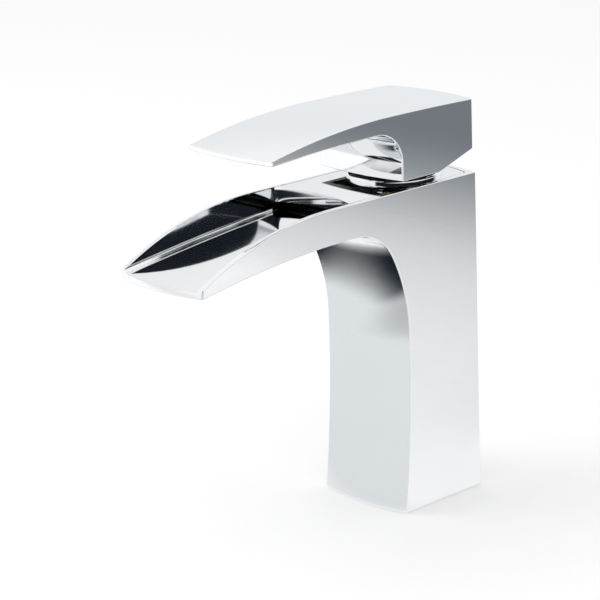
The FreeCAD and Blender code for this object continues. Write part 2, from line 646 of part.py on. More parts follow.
def cut_column(body):
    """Hollow column with its inlet risers, stud boss, threads, peg holes and seal groove."""
    hollow = (-(half_width - column_wall), -(waist_front - column_front_wall),
              half_width - column_wall, base_back - column_wall)
    sketch = sketch_on(body, "XY_Plane", "hollow")
    rounded_rectangle(sketch, *hollow, column_wall)
    for side in (-1, 1):
        circle(sketch, side * riser_spread, -riser_forward, riser_outer)
    circle(sketch, 0, stud_back, stud_outer)
    pocket(body, sketch, recess_height, forward=True)
    sketch = sketch_on(body, "XY_Plane", "hollow_mouth")
    rounded_rectangle(sketch, *hollow, column_wall)
    pocket(body, sketch, mouth_height, forward=True)
    sketch = sketch_on(body, "XY_Plane", "riser_passages", mouth_height)
    for side in (-1, 1):
        circle(sketch, side * riser_spread, -riser_forward, riser_bore)
    pocket(body, sketch, seat_height - mouth_height + MARGIN, forward=True)
    sketch = sketch_on(body, "XY_Plane", "inlet_threads", mouth_height)
    for side in (-1, 1):
        circle(sketch, side * riser_spread, -riser_forward, inlet_thread)
    pocket(body, sketch, inlet_depth, forward=True)
    sketch = sketch_on(body, "XY_Plane", "stud_thread_hole", mouth_height)
    circle(sketch, 0, stud_back, stud_thread)
    pocket(body, sketch, stud_depth, forward=True)
    sketch = sketch_on(body, "XY_Plane", "peg_holes", seat_height)
    for side in (-1, 1):
        circle(sketch, side * peg_spread, peg_back, peg_radius + fit_clear)
    pocket(body, sketch, peg_length)
    sketch = sketch_on(body, "XY_Plane", "seal_groove")
    seal_outline(sketch, seal_inset)
    seal_outline(sketch, seal_inset + seal_width)
    pocket(body, sketch, seal_depth, forward=True)


def seal_outline(sketch, inset):
    rectangle(sketch, -(half_width - inset), -(base_front - inset), half_width - inset, base_back - inset)


def make_base_seal():
    body = new_body("base_seal")
    sketch = sketch_on(body, "XY_Plane", "seal_section")
    seal_outline(sketch, seal_inset + seal_clear)
    seal_outline(sketch, seal_inset + seal_width - seal_clear)
    pad(body, sketch, seal_depth)
    return body


# ---- Deck plate and gasket ----
def make_deck_plate():
    body = new_body("deck_plate")
    sketch = sketch_on(body, "XY_Plane", "plate_plan", deck_height - plate_thick)
    plate_outline(sketch, plate_gap)
    circle(sketch, 0, 0, nut_collar + plate_hole_clear)
    pad(body, sketch, plate_thick)
    sketch = sketch_on(body, "XY_Plane", "skirt_plan", deck_height - skirt_depth)
    wide = inner_half - plate_gap
    radius = bow_radius(wide, plate_bow)
    outline = Outline(sketch, -wide, -plate_reach)
    outline.arc_to(wide, -plate_reach, radius=radius, left=False)
    outline.line_to(wide, -(plate_reach - skirt_thick))
    outline.arc_to(-wide, -(plate_reach - skirt_thick), radius=radius, left=True).close()
    pad(body, sketch, skirt_depth)
    return body


def make_plate_gasket():
    body = new_body("plate_gasket")
    wide = inner_half - plate_gap
    rear = base_back - rim - plate_gap
    sketch = sketch_on(body, "XY_Plane", "gasket_plan", land_height)
    outline = Outline(sketch, -wide, -gallery_front).line_to(-(inner_half - ledge), -gallery_front)
    outline.line_to(-(inner_half - ledge), -gallery_back).line_to(inner_half - ledge, -gallery_back)
    outline.line_to(inner_half - ledge, -gallery_front).line_to(wide, -gallery_front)
    outline.line_to(wide, rear - plate_corner).line_to(wide - plate_corner, rear)
    outline.line_to(-(wide - plate_corner), rear).line_to(-wide, rear - plate_corner).close()
    circle(sketch, 0, 0, chamber_radius + fit_clear)
    pad(body, sketch, gasket_thick)
    return body


# ---- Nut and bonnet ----
def half_profile(body, name, corners):
    """A half section for a revolution, straight from corner to corner; each corner is radius, height."""
    outline = Outline(sketch_on(body, "YZ_Plane", name), *corners[0])
    for radius, height in corners[1:]:
        outline.line_to(radius, height)
    return outline.close()


def make_cartridge_nut():
    body = new_body("cartridge_nut")
    bore, thread = neck_radius + nut_bore_clear, chamber_radius - thread_clear
    thread_top, top = land_height - nut_thread_gap, deck_height + nut_rise
    turned(body, half_profile(body, "nut_section", [
        (bore, shoulder_top), (thread, shoulder_top), (thread, thread_top), (nut_collar, thread_top),
        (nut_collar, top), (bore, top)]))
    sketch = sketch_on(body, "XY_Plane", "wrench_notch", top)
    rectangle(sketch, -notch_width / 2, neck_radius, notch_width / 2, nut_collar + MARGIN)
    notch = pocket(body, sketch, notch_depth)
    ring = body.newObject("PartDesign::PolarPattern", "wrench_notches")
    ring.Originals = [notch]
    ring.Axis = (sketch, ["N_Axis"])
    ring.Angle = 360
    ring.Occurrences = 4
    body.Tip = ring
    return body


def make_bonnet():
    body = new_body("bonnet")
    inside, roof = nut_collar + run_clear, deck_height + bonnet_rise - bonnet_roof
    shoulder, top = deck_height + bonnet_shoulder_rise, deck_height + bonnet_rise
    turned(body, half_profile(body, "bonnet_section", [
        (inside, deck_height), (bonnet_radius, deck_height), (bonnet_radius, deck_height + bonnet_foot),
        (bonnet_radius - bonnet_bulge, shoulder - 2 * bonnet_bulge), (bonnet_shoulder_radius, shoulder),
        (bonnet_shoulder_radius - 3 * bonnet_bulge, top - bonnet_bulge / 2), (bonnet_hole, top),
        (bonnet_hole, roof), (inside, roof)]))
    return body


# ---- Cartridge ----

def make_cartridge_housing():
    body = new_body("cartridge_housing")
    bore, step = rotor_journal + run_clear, shoulder_top - shoulder_height
    turned(body, half_profile(body, "housing_section", [
        (cavity_radius, base_top), (housing_radius, base_top), (housing_radius, step),
        (shoulder_radius, step), (shoulder_radius, shoulder_top),
        (neck_radius, shoulder_top), (neck_radius, neck_top), (bore, neck_top), (bore, cavity_roof),
        (cavity_radius, cavity_roof)]))
    return body


def make_chamber_seal():
    body = new_body("chamber_seal")
    top = shoulder_top - shoulder_height
    inner, outer = housing_radius + seal_slip, chamber_radius - seal_slip
    turned(body, half_profile(body, "chamber_seal_section", [
        (inner, top - chamber_seal_height), (outer, top - chamber_seal_height), (outer, top), (inner, top)]))
    return body


def hot_and_cold(sketch, spread, forward, radius):
    for side in (-1, 1):
        circle(sketch, side * spread, -forward, radius)
    return sketch


def make_cartridge_base():
    body = new_body("cartridge_base")
    spigot = cavity_radius - fit_clear
    turned(body, half_profile(body, "base_section", [
        (0.0, base_bottom), (base_radius, base_bottom), (base_radius, base_top), (spigot, base_top),
        (spigot, spigot_top), (0.0, spigot_top)]))
    overlap = (base_height + spigot_height) / 2 + port_overlap
    sketch = sketch_on(body, "XY_Plane", "inlet_ports", base_bottom)
    pocket(body, hot_and_cold(sketch, riser_spread, riser_forward, port_radius), overlap, forward=True)
    sketch = sketch_on(body, "XY_Plane", "port_seal_seats", base_bottom)
    hot_and_cold(sketch, riser_spread, riser_forward, port_seal_inner + ring_wall + fit_clear)
    pocket(body, sketch, seal_ring_height - seal_stand, forward=True)
    sketch = sketch_on(body, "XY_Plane", "disc_inlets", spigot_top)
    pocket(body, hot_and_cold(sketch, disc_port_spread, disc_port_forward, disc_port_radius), overlap)
    sketch = sketch_on(body, "XY_Plane", "disc_outlet", spigot_top)
    circle(sketch, 0, disc_outlet_back, disc_outlet_radius)
    pocket(body, sketch, spigot_top - base_bottom - outlet_floor)
    sketch = sketch_on(body, "XY_Plane", "disc_seal_seat", spigot_top)
    circle(sketch, 0, 0, disc_seal_radius + fit_clear)
    pocket(body, sketch, disc_seal_thick - disc_seal_stand)
    sketch = sketch_on(body, "XZ_Plane", "outlet_window", -disc_outlet_back)
    rectangle(sketch, -outlet_window, base_bottom + outlet_floor, outlet_window, base_top)
    pocket(body, sketch, base_radius)
    sketch = sketch_on(body, "XY_Plane", "pegs", base_bottom - peg_length)
    hot_and_cold(sketch, peg_spread, -peg_back, peg_radius)
    pad(body, sketch, peg_length + fit_clear)
    return body


def make_ring(label, x, y, inner, bottom):
    """A plain rubber ring standing on its edge round a port."""
    body = new_body(label)
    sketch = sketch_on(body, "XY_Plane", label + "_plan", bottom)
    circle(sketch, x, y, inner)
    circle(sketch, x, y, inner + ring_wall)
    pad(body, sketch, seal_ring_height)
    return body


def make_disc_seal():
    body = new_body("disc_seal")
    sketch = sketch_on(body, "XY_Plane", "disc_seal_plan", disc_bottom - disc_seal_thick)
    circle(sketch, 0, 0, disc_seal_radius)
    hot_and_cold(sketch, disc_port_spread, disc_port_forward, disc_port_radius + disc_seal_wider)
    circle(sketch, 0, disc_outlet_back, disc_outlet_radius + disc_seal_wider)
    pad(body, sketch, disc_seal_thick)
    return body


def make_fixed_disc():
    body = new_body("fixed_disc")
    sketch = sketch_on(body, "XY_Plane", "fixed_disc_plan", disc_bottom)
    circle(sketch, 0, 0, fixed_disc_radius)
    hot_and_cold(sketch, disc_port_spread, disc_port_forward, disc_port_radius)
    circle(sketch, 0, disc_outlet_back, disc_outlet_radius)
    pad(body, sketch, fixed_disc_thick)
    return body


def key_plan(sketch, inner, outer, half):
    """Plan of the two keys or of their notches."""
    for side in (-1, 1):
        rectangle(sketch, side * outer, moving_disc_back - half, side * inner, moving_disc_back + half)
    return sketch


def make_moving_disc():
    body = new_body("moving_disc")
    sketch = sketch_on(body, "XY_Plane", "moving_disc_plan", disc_joint)
    circle(sketch, 0, moving_disc_back, moving_disc_radius)
    pad(body, sketch, moving_disc_thick)
    sketch = sketch_on(body, "XY_Plane", "mixing_recess", disc_joint)
    circle(sketch, 0, mixing_back, mixing_radius)
    pocket(body, sketch, mixing_depth, forward=True)
    sketch = sketch_on(body, "XY_Plane", "key_notches", carrier_bottom)
    pocket(body, key_plan(sketch, key_start, moving_disc_radius + MARGIN, key_width / 2), key_depth)
    return body


def make_disc_carrier():
    body = new_body("disc_carrier")
    sketch = sketch_on(body, "XY_Plane", "carrier_plan", carrier_bottom)
    circle(sketch, 0, moving_disc_back, moving_disc_radius)
    pad(body, sketch, carrier_height)
    sketch = sketch_on(body, "XY_Plane", "keys", carrier_bottom - key_depth + fit_clear)
    pad(body, key_plan(sketch, key_start + fit_clear, key_end, key_width / 2 - fit_clear), key_depth)
    sketch = sketch_on(body, "XY_Plane", "foot_socket", carrier_top)
    circle(sketch, 0, 0, ball_radius + ball_clear)
    pocket(body, sketch, carrier_height - carrier_floor)
    return body


def make_rotor():
    body = new_body("rotor")
    turned(body, half_profile(body, "rotor_section", [
        (0.0, flange_bottom), (rotor_flange, flange_bottom), (rotor_flange, cavity_roof - rotor_slip),
        (rotor_journal, cavity_roof - rotor_slip), (rotor_journal, rotor_top), (0.0, rotor_top)]))
    half = stem_square / 2
    side = half + slot_side_clear
    near_side = half + slot_clear
    sketch = sketch_on(body, "XY_Plane", "upper_slot", rotor_top)
    rectangle(sketch, -side, -near_side, side, half + slot_swing_up)
    pocket(body, sketch, rotor_top - pivot_height + slot_clear)
    sketch = sketch_on(body, "XY_Plane", "lower_slot", flange_bottom)
    rectangle(sketch, -side, -(half + slot_swing_down), side, near_side)
    pocket(body, sketch, pivot_height - flange_bottom + pin_radius, forward=True)
    sketch = sketch_on(body, "YZ_Plane", "pin_hole")
    circle(sketch, 0, pivot_height, pin_radius + pin_press)
    pocket(body, sketch, 2 * rotor_flange, both=True)
    turn = SWIVEL_STOP + math.atan(as_size(limit_tab).value / 2 / stop_radius.value)
    outer = rotor_journal + MARGIN
    sketch = sketch_on(body, "XY_Plane", "stop_groove", rotor_top)
    outline = Outline(sketch, -stop_radius * math.sin(turn), -stop_radius * math.cos(turn))
    outline.line_to(-outer * math.sin(turn), -outer * math.cos(turn))
    outline.line_to(-outer * math.sin(turn), -2 * outer).line_to(outer * math.sin(turn), -2 * outer)
    outline.line_to(outer * math.sin(turn), -outer * math.cos(turn))
    outline.line_to(stop_radius * math.sin(turn), -stop_radius * math.cos(turn))
    outline.arc_to(*outline.corners[0][:2], radius=stop_radius, left=False).close()
    pocket(body, sketch, stop_depth)
    return body


def make_limit_ring():
    body = new_body("limit_ring")
    sketch = sketch_on(body, "XY_Plane", "limit_ring_plan", neck_top)
    circle(sketch, 0, 0, limit_inner)
    circle(sketch, 0, 0, neck_radius)
    pad(body, sketch, limit_thick)
    sketch = sketch_on(body, "XY_Plane", "limit_tab", neck_top)
    half = limit_tab / 2
    rectangle(sketch, -half, -(limit_inner + neck_radius) / 2, half, -(stop_radius + tab_clear))
    pad(body, sketch, limit_thick)
    return body


def make_pivot_pin():
    body = new_body("pivot_pin")
    sketch = sketch_on(body, "YZ_Plane", "pin_section")
    circle(sketch, 0, pivot_height, pin_radius)
    pad(body, sketch, 2 * pin_half, both=True)
    return body


def square(sketch, half):
    return rectangle(sketch, -half, -half, half, half)


def make_lever_stem():
    body = new_body("lever_stem")
    narrow, band = ball_radius / 2, ball_radius / 5
    low, high = ball_height - ball_radius, ball_height + ball_radius
    turned(body, half_profile(body, "foot_section", [
        (0.0, low), (narrow, low), (ball_radius, ball_height - band), (ball_radius, ball_height + band),
        (narrow, high), (0.0, high)]))
    shank = sketch_on(body, "XY_Plane", "shank", ball_height)
    circle(shank, 0, 0, stem_shank)
    pad(body, shank, foot_arm)
    stem_bottom = pivot_height - stem_below
    stem = sketch_on(body, "XY_Plane", "stem", stem_bottom)
    square(stem, stem_square / 2)
    pad(body, stem, stem_top - stem_bottom)
    hole = sketch_on(body, "YZ_Plane", "stem_pin_hole")
    circle(hole, 0, pivot_height, pin_radius + run_clear)
    pocket(body, hole, 2 * stem_square, both=True)
    return body


# ---- Handle ----
def handle_side_profile(body):
    """Side outline of lever and hub, at the left side plane; the rear is trimmed afterwards."""
    sketch = sketch_on(body, "YZ_Plane", "handle_profile", -handle_width / 2)
    far = tail_middle + tip_bow + MARGIN
    reach = (far + crown_reach) / (tail_reach + crown_reach)
    chamfer_slope = (tail_bottom - hub_bottom) / (tail_reach - hub_flat_back)
    bend_y = hub_front + hub_fillet
    outline = Outline(sketch, -tip_reach, tip_top).arc_to(-crown_reach, crown_height, centre_x=-crown_reach)
    outline.arc_to(far, crown_height - (crown_height - tail_top) * reach * reach, centre_x=-crown_reach)
    outline.line_to(far, hub_bottom + (far - hub_flat_back) * chamfer_slope)
    outline.line_to(hub_flat_back, hub_bottom).line_to(-hub_front, hub_bottom)
    outline.line_to(-hub_front, hub_fillet_top - hub_fillet)
    outline.arc_to(-bend_y, hub_fillet_top, radius=hub_fillet, left=True)
    outline.arc_to(-tip_reach, tip_top - tip_thick, centre_x=-bend_y)
    return outline.close()


def make_handle():
    body = new_body("handle")
    half = handle_width / 2
    profile = handle_side_profile(body)
    path = bowed_path(body, "handle_bow", -hub_front, half, tip_bow)
    swept(body, profile, path, ["Edge1"])
    back_trim(body, "handle_rear", tail_reach, half, tail_bow, crown_height - deck_height, deck_height)
    hollow_half = half - hub_wall
    front, rear = hub_front_wall - hub_front, tail_reach - hub_wall
    for name, depth, boss in (("hub_hollow", hub_hollow_top - hub_bottom, True),
                              ("hub_mouth", boss_bottom - hub_bottom, False)):
        sketch = sketch_on(body, "XY_Plane", name, hub_bottom)
        outline = Outline(sketch, -hollow_half, front).line_to(hollow_half, front).line_to(hollow_half, rear)
        outline.arc_to(-hollow_half, rear, radius=bow_radius(hollow_half, tail_bow), left=True).close()
        if boss:
            circle(sketch, 0, 0, boss_radius)
        pocket(body, sketch, depth, forward=True)
    socket = sketch_on(body, "XY_Plane", "stem_socket", boss_bottom)
    square(socket, stem_square / 2 + socket_clear)
    pocket(body, socket, stem_top + socket_end_clear - boss_bottom, forward=True)
    thread = sketch_on(body, "XZ_Plane", "screw_thread", 0.0)
    circle(thread, 0, screw_height, screw_radius + thread_clear)
    pocket(body, thread, boss_radius + MARGIN)
    access = sketch_on(body, "XZ_Plane", "access_hole", -(tail_reach - hub_wall - MARGIN))
    circle(access, 0, screw_height, access_radius)
    pocket(body, access, 2 * tail_bow + hub_wall + 2 * MARGIN)
    seat = sketch_on(body, "XZ_Plane", "plug_seat", -(tail_middle - plug_head_thick - fit_clear))
    circle(seat, 0, screw_height, plug_head + fit_clear)
    pocket(body, seat, 2 * MARGIN)
    return body


def make_handle_screw():
    body = new_body("handle_screw")
    start = stem_square / 2
    shank = sketch_on(body, "XZ_Plane", "screw_shank", -(start + screw_length))
    circle(shank, 0, screw_height, screw_radius)
    pad(body, shank, screw_length)
    key = sketch_on(body, "XZ_Plane", "hexagon", -(start + screw_length - screw_socket_depth))
    corners = []
    for step in range(6):
        turn = math.radians(60 * step)
        across = screw_socket / math.cos(math.radians(30))
        corners.append((across * math.cos(turn), screw_height + across * math.sin(turn)))
    outline = Outline(key, *corners[0])
    for corner in corners[1:]:
        outline.line_to(*corner)
    outline.close()
    pocket(body, key, screw_socket_depth + MARGIN)
    return body


def make_screw_plug():
    body = new_body("screw_plug")
    head_floor = tail_middle - plug_head_thick - fit_clear
    head = sketch_on(body, "XZ_Plane", "plug_head_plan", -(head_floor + plug_head_thick))
    circle(head, 0, screw_height, plug_head)
    pad(body, head, plug_head_thick)
    shank = sketch_on(body, "XZ_Plane", "plug_shank", -(head_floor + MARGIN / 10))
    circle(shank, 0, screw_height, access_radius - run_clear)
    pad(body, shank, plug_length - plug_head_thick + MARGIN / 10)
    return body


# ---- Build, check and export ----
pieces = [
    make_faucet_body(), make_base_seal(), make_deck_plate(), make_plate_gasket(), make_cartridge_nut(),
    make_bonnet(), make_cartridge_housing(), make_chamber_seal(), make_cartridge_base(),
    make_ring("hot_port_seal", -riser_spread, -riser_forward, port_seal_inner, seat_height),
    make_ring("cold_port_seal", riser_spread, -riser_forward, port_seal_inner, seat_height),
    make_disc_seal(), make_fixed_disc(), make_moving_disc(), make_disc_carrier(), make_rotor(),
    make_limit_ring(), make_pivot_pin(), make_lever_stem(), make_handle(), make_handle_screw(),
    make_screw_plug(),
]
doc.recompute()
for item in doc.Objects:
    if "Invalid" in item.State or "Error" in item.State:
        raise RuntimeError(f"{item.Name} failed: {item.State}")
os.makedirs("parts", exist_ok=True)
for piece in pieces:
    if piece.Shape.isNull() or not piece.Shape.isValid() or len(piece.Shape.Solids) != 1:
        raise RuntimeError(f"{piece.Label} is not one valid solid")
    piece.Shape.exportStep(f"parts/{piece.Label}.step")
    box = piece.Shape.BoundBox
    print(piece.Label, round(piece.Shape.Volume), [round(value, 2) for value in (
        box.XMin, box.XMax, box.YMin, box.YMax, box.ZMin, box.ZMax)])
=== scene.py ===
"""Looks of the waterfall basin faucet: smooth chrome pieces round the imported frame, studio and camera."""

import math

import bmesh
import bpy
from mathutils import Matrix, Vector


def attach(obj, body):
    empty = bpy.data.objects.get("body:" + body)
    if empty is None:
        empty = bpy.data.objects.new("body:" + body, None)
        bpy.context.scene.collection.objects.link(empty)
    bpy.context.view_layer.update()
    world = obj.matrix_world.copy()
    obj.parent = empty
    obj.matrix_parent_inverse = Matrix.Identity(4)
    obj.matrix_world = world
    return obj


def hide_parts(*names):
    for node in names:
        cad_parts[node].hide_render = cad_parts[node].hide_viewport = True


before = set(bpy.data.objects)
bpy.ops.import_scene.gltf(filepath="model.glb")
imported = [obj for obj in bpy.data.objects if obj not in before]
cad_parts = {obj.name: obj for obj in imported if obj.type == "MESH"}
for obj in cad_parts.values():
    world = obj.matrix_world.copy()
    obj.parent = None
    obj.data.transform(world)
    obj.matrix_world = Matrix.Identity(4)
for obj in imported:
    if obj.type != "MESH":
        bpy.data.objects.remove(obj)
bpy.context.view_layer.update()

MM = 0.001

# ---- Sizes in millimetres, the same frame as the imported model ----
# A reach, a front or a back is measured from the swivel's axis, and a height from the basin.
# Body
HALF = 25.0
DECK = 142.0
FRONT_BOW, BACK_BOW = 3.4, 3.2
BASE_FRONT, BASE_BACK = 23.5, 23.4
WAIST_FRONT, WAIST_HEIGHT = 18.3, 80.0
TOP_FLAT, SPOUT_REACH = 60.0, 129.2
LIP_TOP, LIP_BOTTOM, LIP_LEAN = 124.1, 120.3, 0.7
ARCH_REACH, ARCH_HEIGHT, ARCH_RADIUS = 48.0, 127.7, 24.0
EDGE_ROUND = 0.45

# Trough, gallery under the deck plate, sump and passage to the cartridge chamber
RIM = 2.3
INNER = HALF - RIM
RIM_FLARE, FLARE_RUN = 0.3, 0.9
FLOOR_LIP, FLOOR_BACK, FLOOR_RADIUS, FLOOR_FILLET = 122.7, 134.2, 1375.0, 1.8
LEAST_WALL = 0.05
GALLERY_FRONT, GALLERY_BACK, GALLERY_FLOOR, LEDGE = 42.0, 23.0, 134.0, 2.2
LAND = 139.4
SUMP_HALF, SUMP_FRONT, SUMP_FLOOR = 12.0, 31.0, 123.6
PASSAGE_HALF, PASSAGE_FRONT, PASSAGE_BACK, PASSAGE_TOP = 10.0, 27.0, 9.5, 128.2

# Cartridge chamber and the hollow column below it
SEAT, CHAMBER_RADIUS, SEAT_THICK = 105.5, 19.0, 7.5
COLUMN_WALL, COLUMN_FRONT_WALL = 3.5, 4.0
HOLLOW_HALF = HALF - COLUMN_WALL
HOLLOW_FRONT, HOLLOW_BACK = WAIST_FRONT - COLUMN_FRONT_WALL, BASE_BACK - COLUMN_WALL
HOLLOW_TOP = SEAT - SEAT_THICK
BOSS_BOTTOM = 10.0
RISER_X, RISER_Y, RISER_BORE, RISER_WALL = 8.5, -5.0, 3.4, 2.1
INLET_THREAD, INLET_DEPTH = 4.5, 12.0
STUD_Y, STUD_THREAD, STUD_WALL, STUD_DEPTH = 11.0, 3.4, 2.6, 16.0
PEG_X, PEG_Y, PEG_HOLE, PEG_DEPTH = 11.0, 9.0, 2.0, 3.0
SEAL_INSET, SEAL_WIDTH, SEAL_DEPTH = 1.0, 1.5, 1.2

# Deck plate
PLATE_REACH, PLATE_BOW, PLATE_THICK, PLATE_GAP, PLATE_CORNER = 48.6, 4.6, 2.0, 0.25, 3.0
PLATE_EDGE, PLATE_HOLE = 0.12, 17.8
SKIRT_DEPTH, SKIRT_THICK = 6.0, 2.0

# Bonnet: radii, and rises above the deck
BONNET_RADIUS, BONNET_INSIDE, BONNET_MOUTH = 20.5, 17.25, 13.4
BONNET_DRAW, BONNET_DRAW_POWER = 2.6, 2.4
BONNET_FOOT, BONNET_SHOULDER, BONNET_ROOF, BONNET_TOP = 0.5, 3.2, 3.1, 4.4
SHOULDER_WIDTH, SHOULDER_RISE = 1.8, 1.0
BONNET_CROWN_RADIUS, BONNET_CROWN = 15.0, 4.3
MOUTH_BREAK = 0.1

# Handle
HUB_BOTTOM, CROWN, CROWN_REACH = 145.8, 174.4, 26.0
TIP_REACH, TIP_TOP, TIP_THICK, TIP_BOW = 91.0, 167.5, 2.3, 2.2
TAIL_REACH, TAIL_TOP, TAIL_BOTTOM, TAIL_BOW = 22.0, 173.7, 152.3, 4.0
HUB_FRONT, HUB_FLAT_BACK, HUB_FILLET, HUB_FILLET_TOP = 19.7, 2.0, 14.0, 167.4
HUB_WALL, HUB_FRONT_WALL, HUB_ROOF = 3.4, 2.4, 4.4
HUB_BOSS_RADIUS, HUB_BOSS_BOTTOM = 8.6, 151.0
SOCKET_HALF, SOCKET_BOTTOM, SOCKET_TOP = 4.05, 150.0, 163.5

# Screw and plug at the back of the hub: radii, and places behind the axis
SCREW_HEIGHT = 160.0
SCREW_THREAD, THREAD_START, THREAD_END = 2.54, 1.0, 10.6
SCREW_ACCESS, ACCESS_START, ACCESS_END = 3.1, 16.6, 30.6
PLUG_SEAT_RADIUS, PLUG_SEAT, PLUG_SEAT_END = 4.3, 25.0, 29.0
PLUG_SHANK, PLUG_HEAD, PLUG_START, PLUG_RIM, PLUG_TOP = 3.05, 4.2, 20.4, 25.6, 25.9

# How far a cutter passes a face or runs into another, at the most and the least, and a joined piece
# into its partner
BEYOND, OVERLAP, JOIN = 2.0, 1.0, 0.5
# Points nearer than this are one point, while a mesh is made and when it is finished
WELD, FINAL_WELD = 1e-4, 1e-3
# An edge sharper than the first angle gets rounded, and one sharper than the second stays crisp
ROUNDED_ANGLE, CRISP_ANGLE = 32.0, 25.0
# Directions of an arc
CLOCKWISE, ANTICLOCKWISE = -1, 1


# ---- Curves ----
def spaced(start, end, steps):
    return [start + (end - start) * i / steps for i in range(steps + 1)]


def arc(a, b, centre, steps, wind):
    """Points from a to b round centre, without a itself."""
    start = math.atan2(a[1] - centre[1], a[0] - centre[0])
    end = math.atan2(b[1] - centre[1], b[0] - centre[0])
    sweep = (end - start) * wind % (2 * math.pi)
    radius = math.dist(a, centre)
    points = []
    for i in range(1, steps + 1):
        t = start + wind * sweep * i / steps
        points.append((centre[0] + radius * math.cos(t), centre[1] + radius * math.sin(t)))
    return points


def arc_plan(centre, radius, start, end, steps):
    """Points on an arc from start to end, in degrees."""
    return [(centre[0] + radius * math.cos(math.radians(angle)),
             centre[1] + radius * math.sin(math.radians(angle)))
            for angle in spaced(start, end, steps)]


def rectangle(low, high):
    return [(low[0], low[1]), (high[0], low[1]), (high[0], high[1]), (low[0], high[1])]


def rounded_rectangle(low, high, radius, steps=8):
    corners = ((high[0] - radius, high[1] - radius), (low[0] + radius, high[1] - radius),
               (low[0] + radius, low[1] + radius), (high[0] - radius, low[1] + radius))
    points = []
    for corner, start in zip(corners, (0, 90, 180, 270)):
        points += arc_plan(corner, radius, start, start + 90, steps)
    return points


def centre_on_vertical(a, b, x):
    """Centre with the given first coordinate of the circle through a and b."""
    y = ((b[0] - x) ** 2 - (a[0] - x) ** 2 + b[1] ** 2 - a[1] ** 2) / (2 * (b[1] - a[1]))
    return (x, y)


def centre_on_level(a, b, y):
    """Centre with the given second coordinate of the circle through a and b."""
    x = ((b[1] - y) ** 2 - (a[1] - y) ** 2 + b[0] ** 2 - a[0] ** 2) / (2 * (b[0] - a[0]))
    return (x, y)


def bow(x, half, depth):
    """How far a face bowed by depth over +-half stands out at x."""
    radius = (half * half + depth * depth) / (2 * depth)
    return math.sqrt(radius * radius - x * x) - (radius - depth)


def stations(half, steps, crowding=0.35):
    """Places across the width, a little closer together towards the sides."""
    return [half * math.sin(math.pi / 2 * even) * crowding + half * even * (1 - crowding)
            for even in spaced(-1.0, 1.0, steps)]


# ---- Meshes ----
def new_object(name, mesh_builder):
    builder = bmesh.new()
    mesh_builder(builder)
    bmesh.ops.remove_doubles(builder, verts=builder.verts, dist=WELD)
    bmesh.ops.recalc_face_normals(builder, faces=builder.faces)
    mesh = bpy.data.meshes.new(name)
    builder.to_mesh(mesh)
    builder.free()
    made = bpy.data.objects.new(name, mesh)
    bpy.context.scene.collection.objects.link(made)
    return made


def join_rings(builder, rings, all_round=False):
    """Quads between closed rings of equal length, and from the last to the first if all_round."""
    rows = [[builder.verts.new(point) for point in ring] for ring in rings]
    pairs = list(zip(rows, rows[1:]))
    if all_round:
        pairs.append((rows[-1], rows[0]))
    for here, there in pairs:
        for i in range(len(here)):
            j = (i + 1) % len(here)
            builder.faces.new((here[i], here[j], there[j], there[i]))
    return rows


def loft(builder, rings):
    """A solid through the rings, closed at both ends."""
    rows = join_rings(builder, rings)
    builder.faces.new(rows[0])
    builder.faces.new(list(reversed(rows[-1])))


def lathe(builder, profile, steps):
    """Turns a closed half profile of (radius, height) round the vertical axis."""
    rings = []
    for i in range(steps):
        a = 2 * math.pi * i / steps
        rings.append([(r * math.cos(a), r * math.sin(a), z) for r, z in profile])
    join_rings(builder, rings, all_round=True)


def bowed_solid(builder, front, rear, steps):
    """Carries the body's side outline across the width. front and rear are lists of (y, z)."""
    rings = []
    for x in stations(HALF, steps):
        ahead, behind = bow(x, HALF, FRONT_BOW), bow(x, HALF, BACK_BOW)
        rings.append([(x, y - ahead, z) for y, z in front] + [(x, y + behind, z) for y, z in rear])
    loft(builder, rings)


def prism(builder, plan, low, high):
    loft(builder, [[(x, y, z) for x, y in plan] for z in (low, high)])


def box(builder, low, high):
    prism(builder, rectangle(low, high), low[2], high[2])


def cylinder(builder, x, y, radius, low, high, steps=64):
    angles = [2 * math.pi * i / steps for i in range(steps)]
    prism(builder, [(x + radius * math.cos(a), y + radius * math.sin(a)) for a in angles], low, high)


def lay_back(builder):
    """Turns what was built upright on the origin to point backward, at the screw's height."""
    turn = Matrix.Translation((0, 0, SCREW_HEIGHT)) @ Matrix.Rotation(-math.pi / 2, 4, "X")
    bmesh.ops.transform(builder, matrix=turn, verts=builder.verts)


def round_edges(builder, width, steps, keep=None):
    """Rounds the sharp edges that keep accepts, or all of them."""
    bmesh.ops.recalc_face_normals(builder, faces=builder.faces)
    edges = [edge for edge in builder.edges if len(edge.link_faces) == 2
             and math.degrees(edge.calc_face_angle(0)) > ROUNDED_ANGLE and (keep is None or keep(edge))]
    bmesh.ops.bevel(builder, geom=edges, offset=width, offset_type="OFFSET", segments=steps,
                    profile=0.5, affect="EDGES", clamp_overlap=True, harden_normals=False)


def apply_modifiers(made):
    graph = bpy.context.evaluated_depsgraph_get()
    result = bpy.data.meshes.new_from_object(made.evaluated_get(graph))
    made.modifiers.clear()
    spent = made.data
    made.data = result
    bpy.data.meshes.remove(spent)


def combine(target, cutter, operation):
    """Combines target with cutter and removes cutter."""
    step = target.modifiers.new("combine", "BOOLEAN")
    step.operation = operation
    step.solver = "EXACT"
    step.object = cutter
    apply_modifiers(target)
    bpy.data.objects.remove(cutter)


def cut(target, name, mesh_builder):
    combine(target, new_object(name, mesh_builder), "DIFFERENCE")


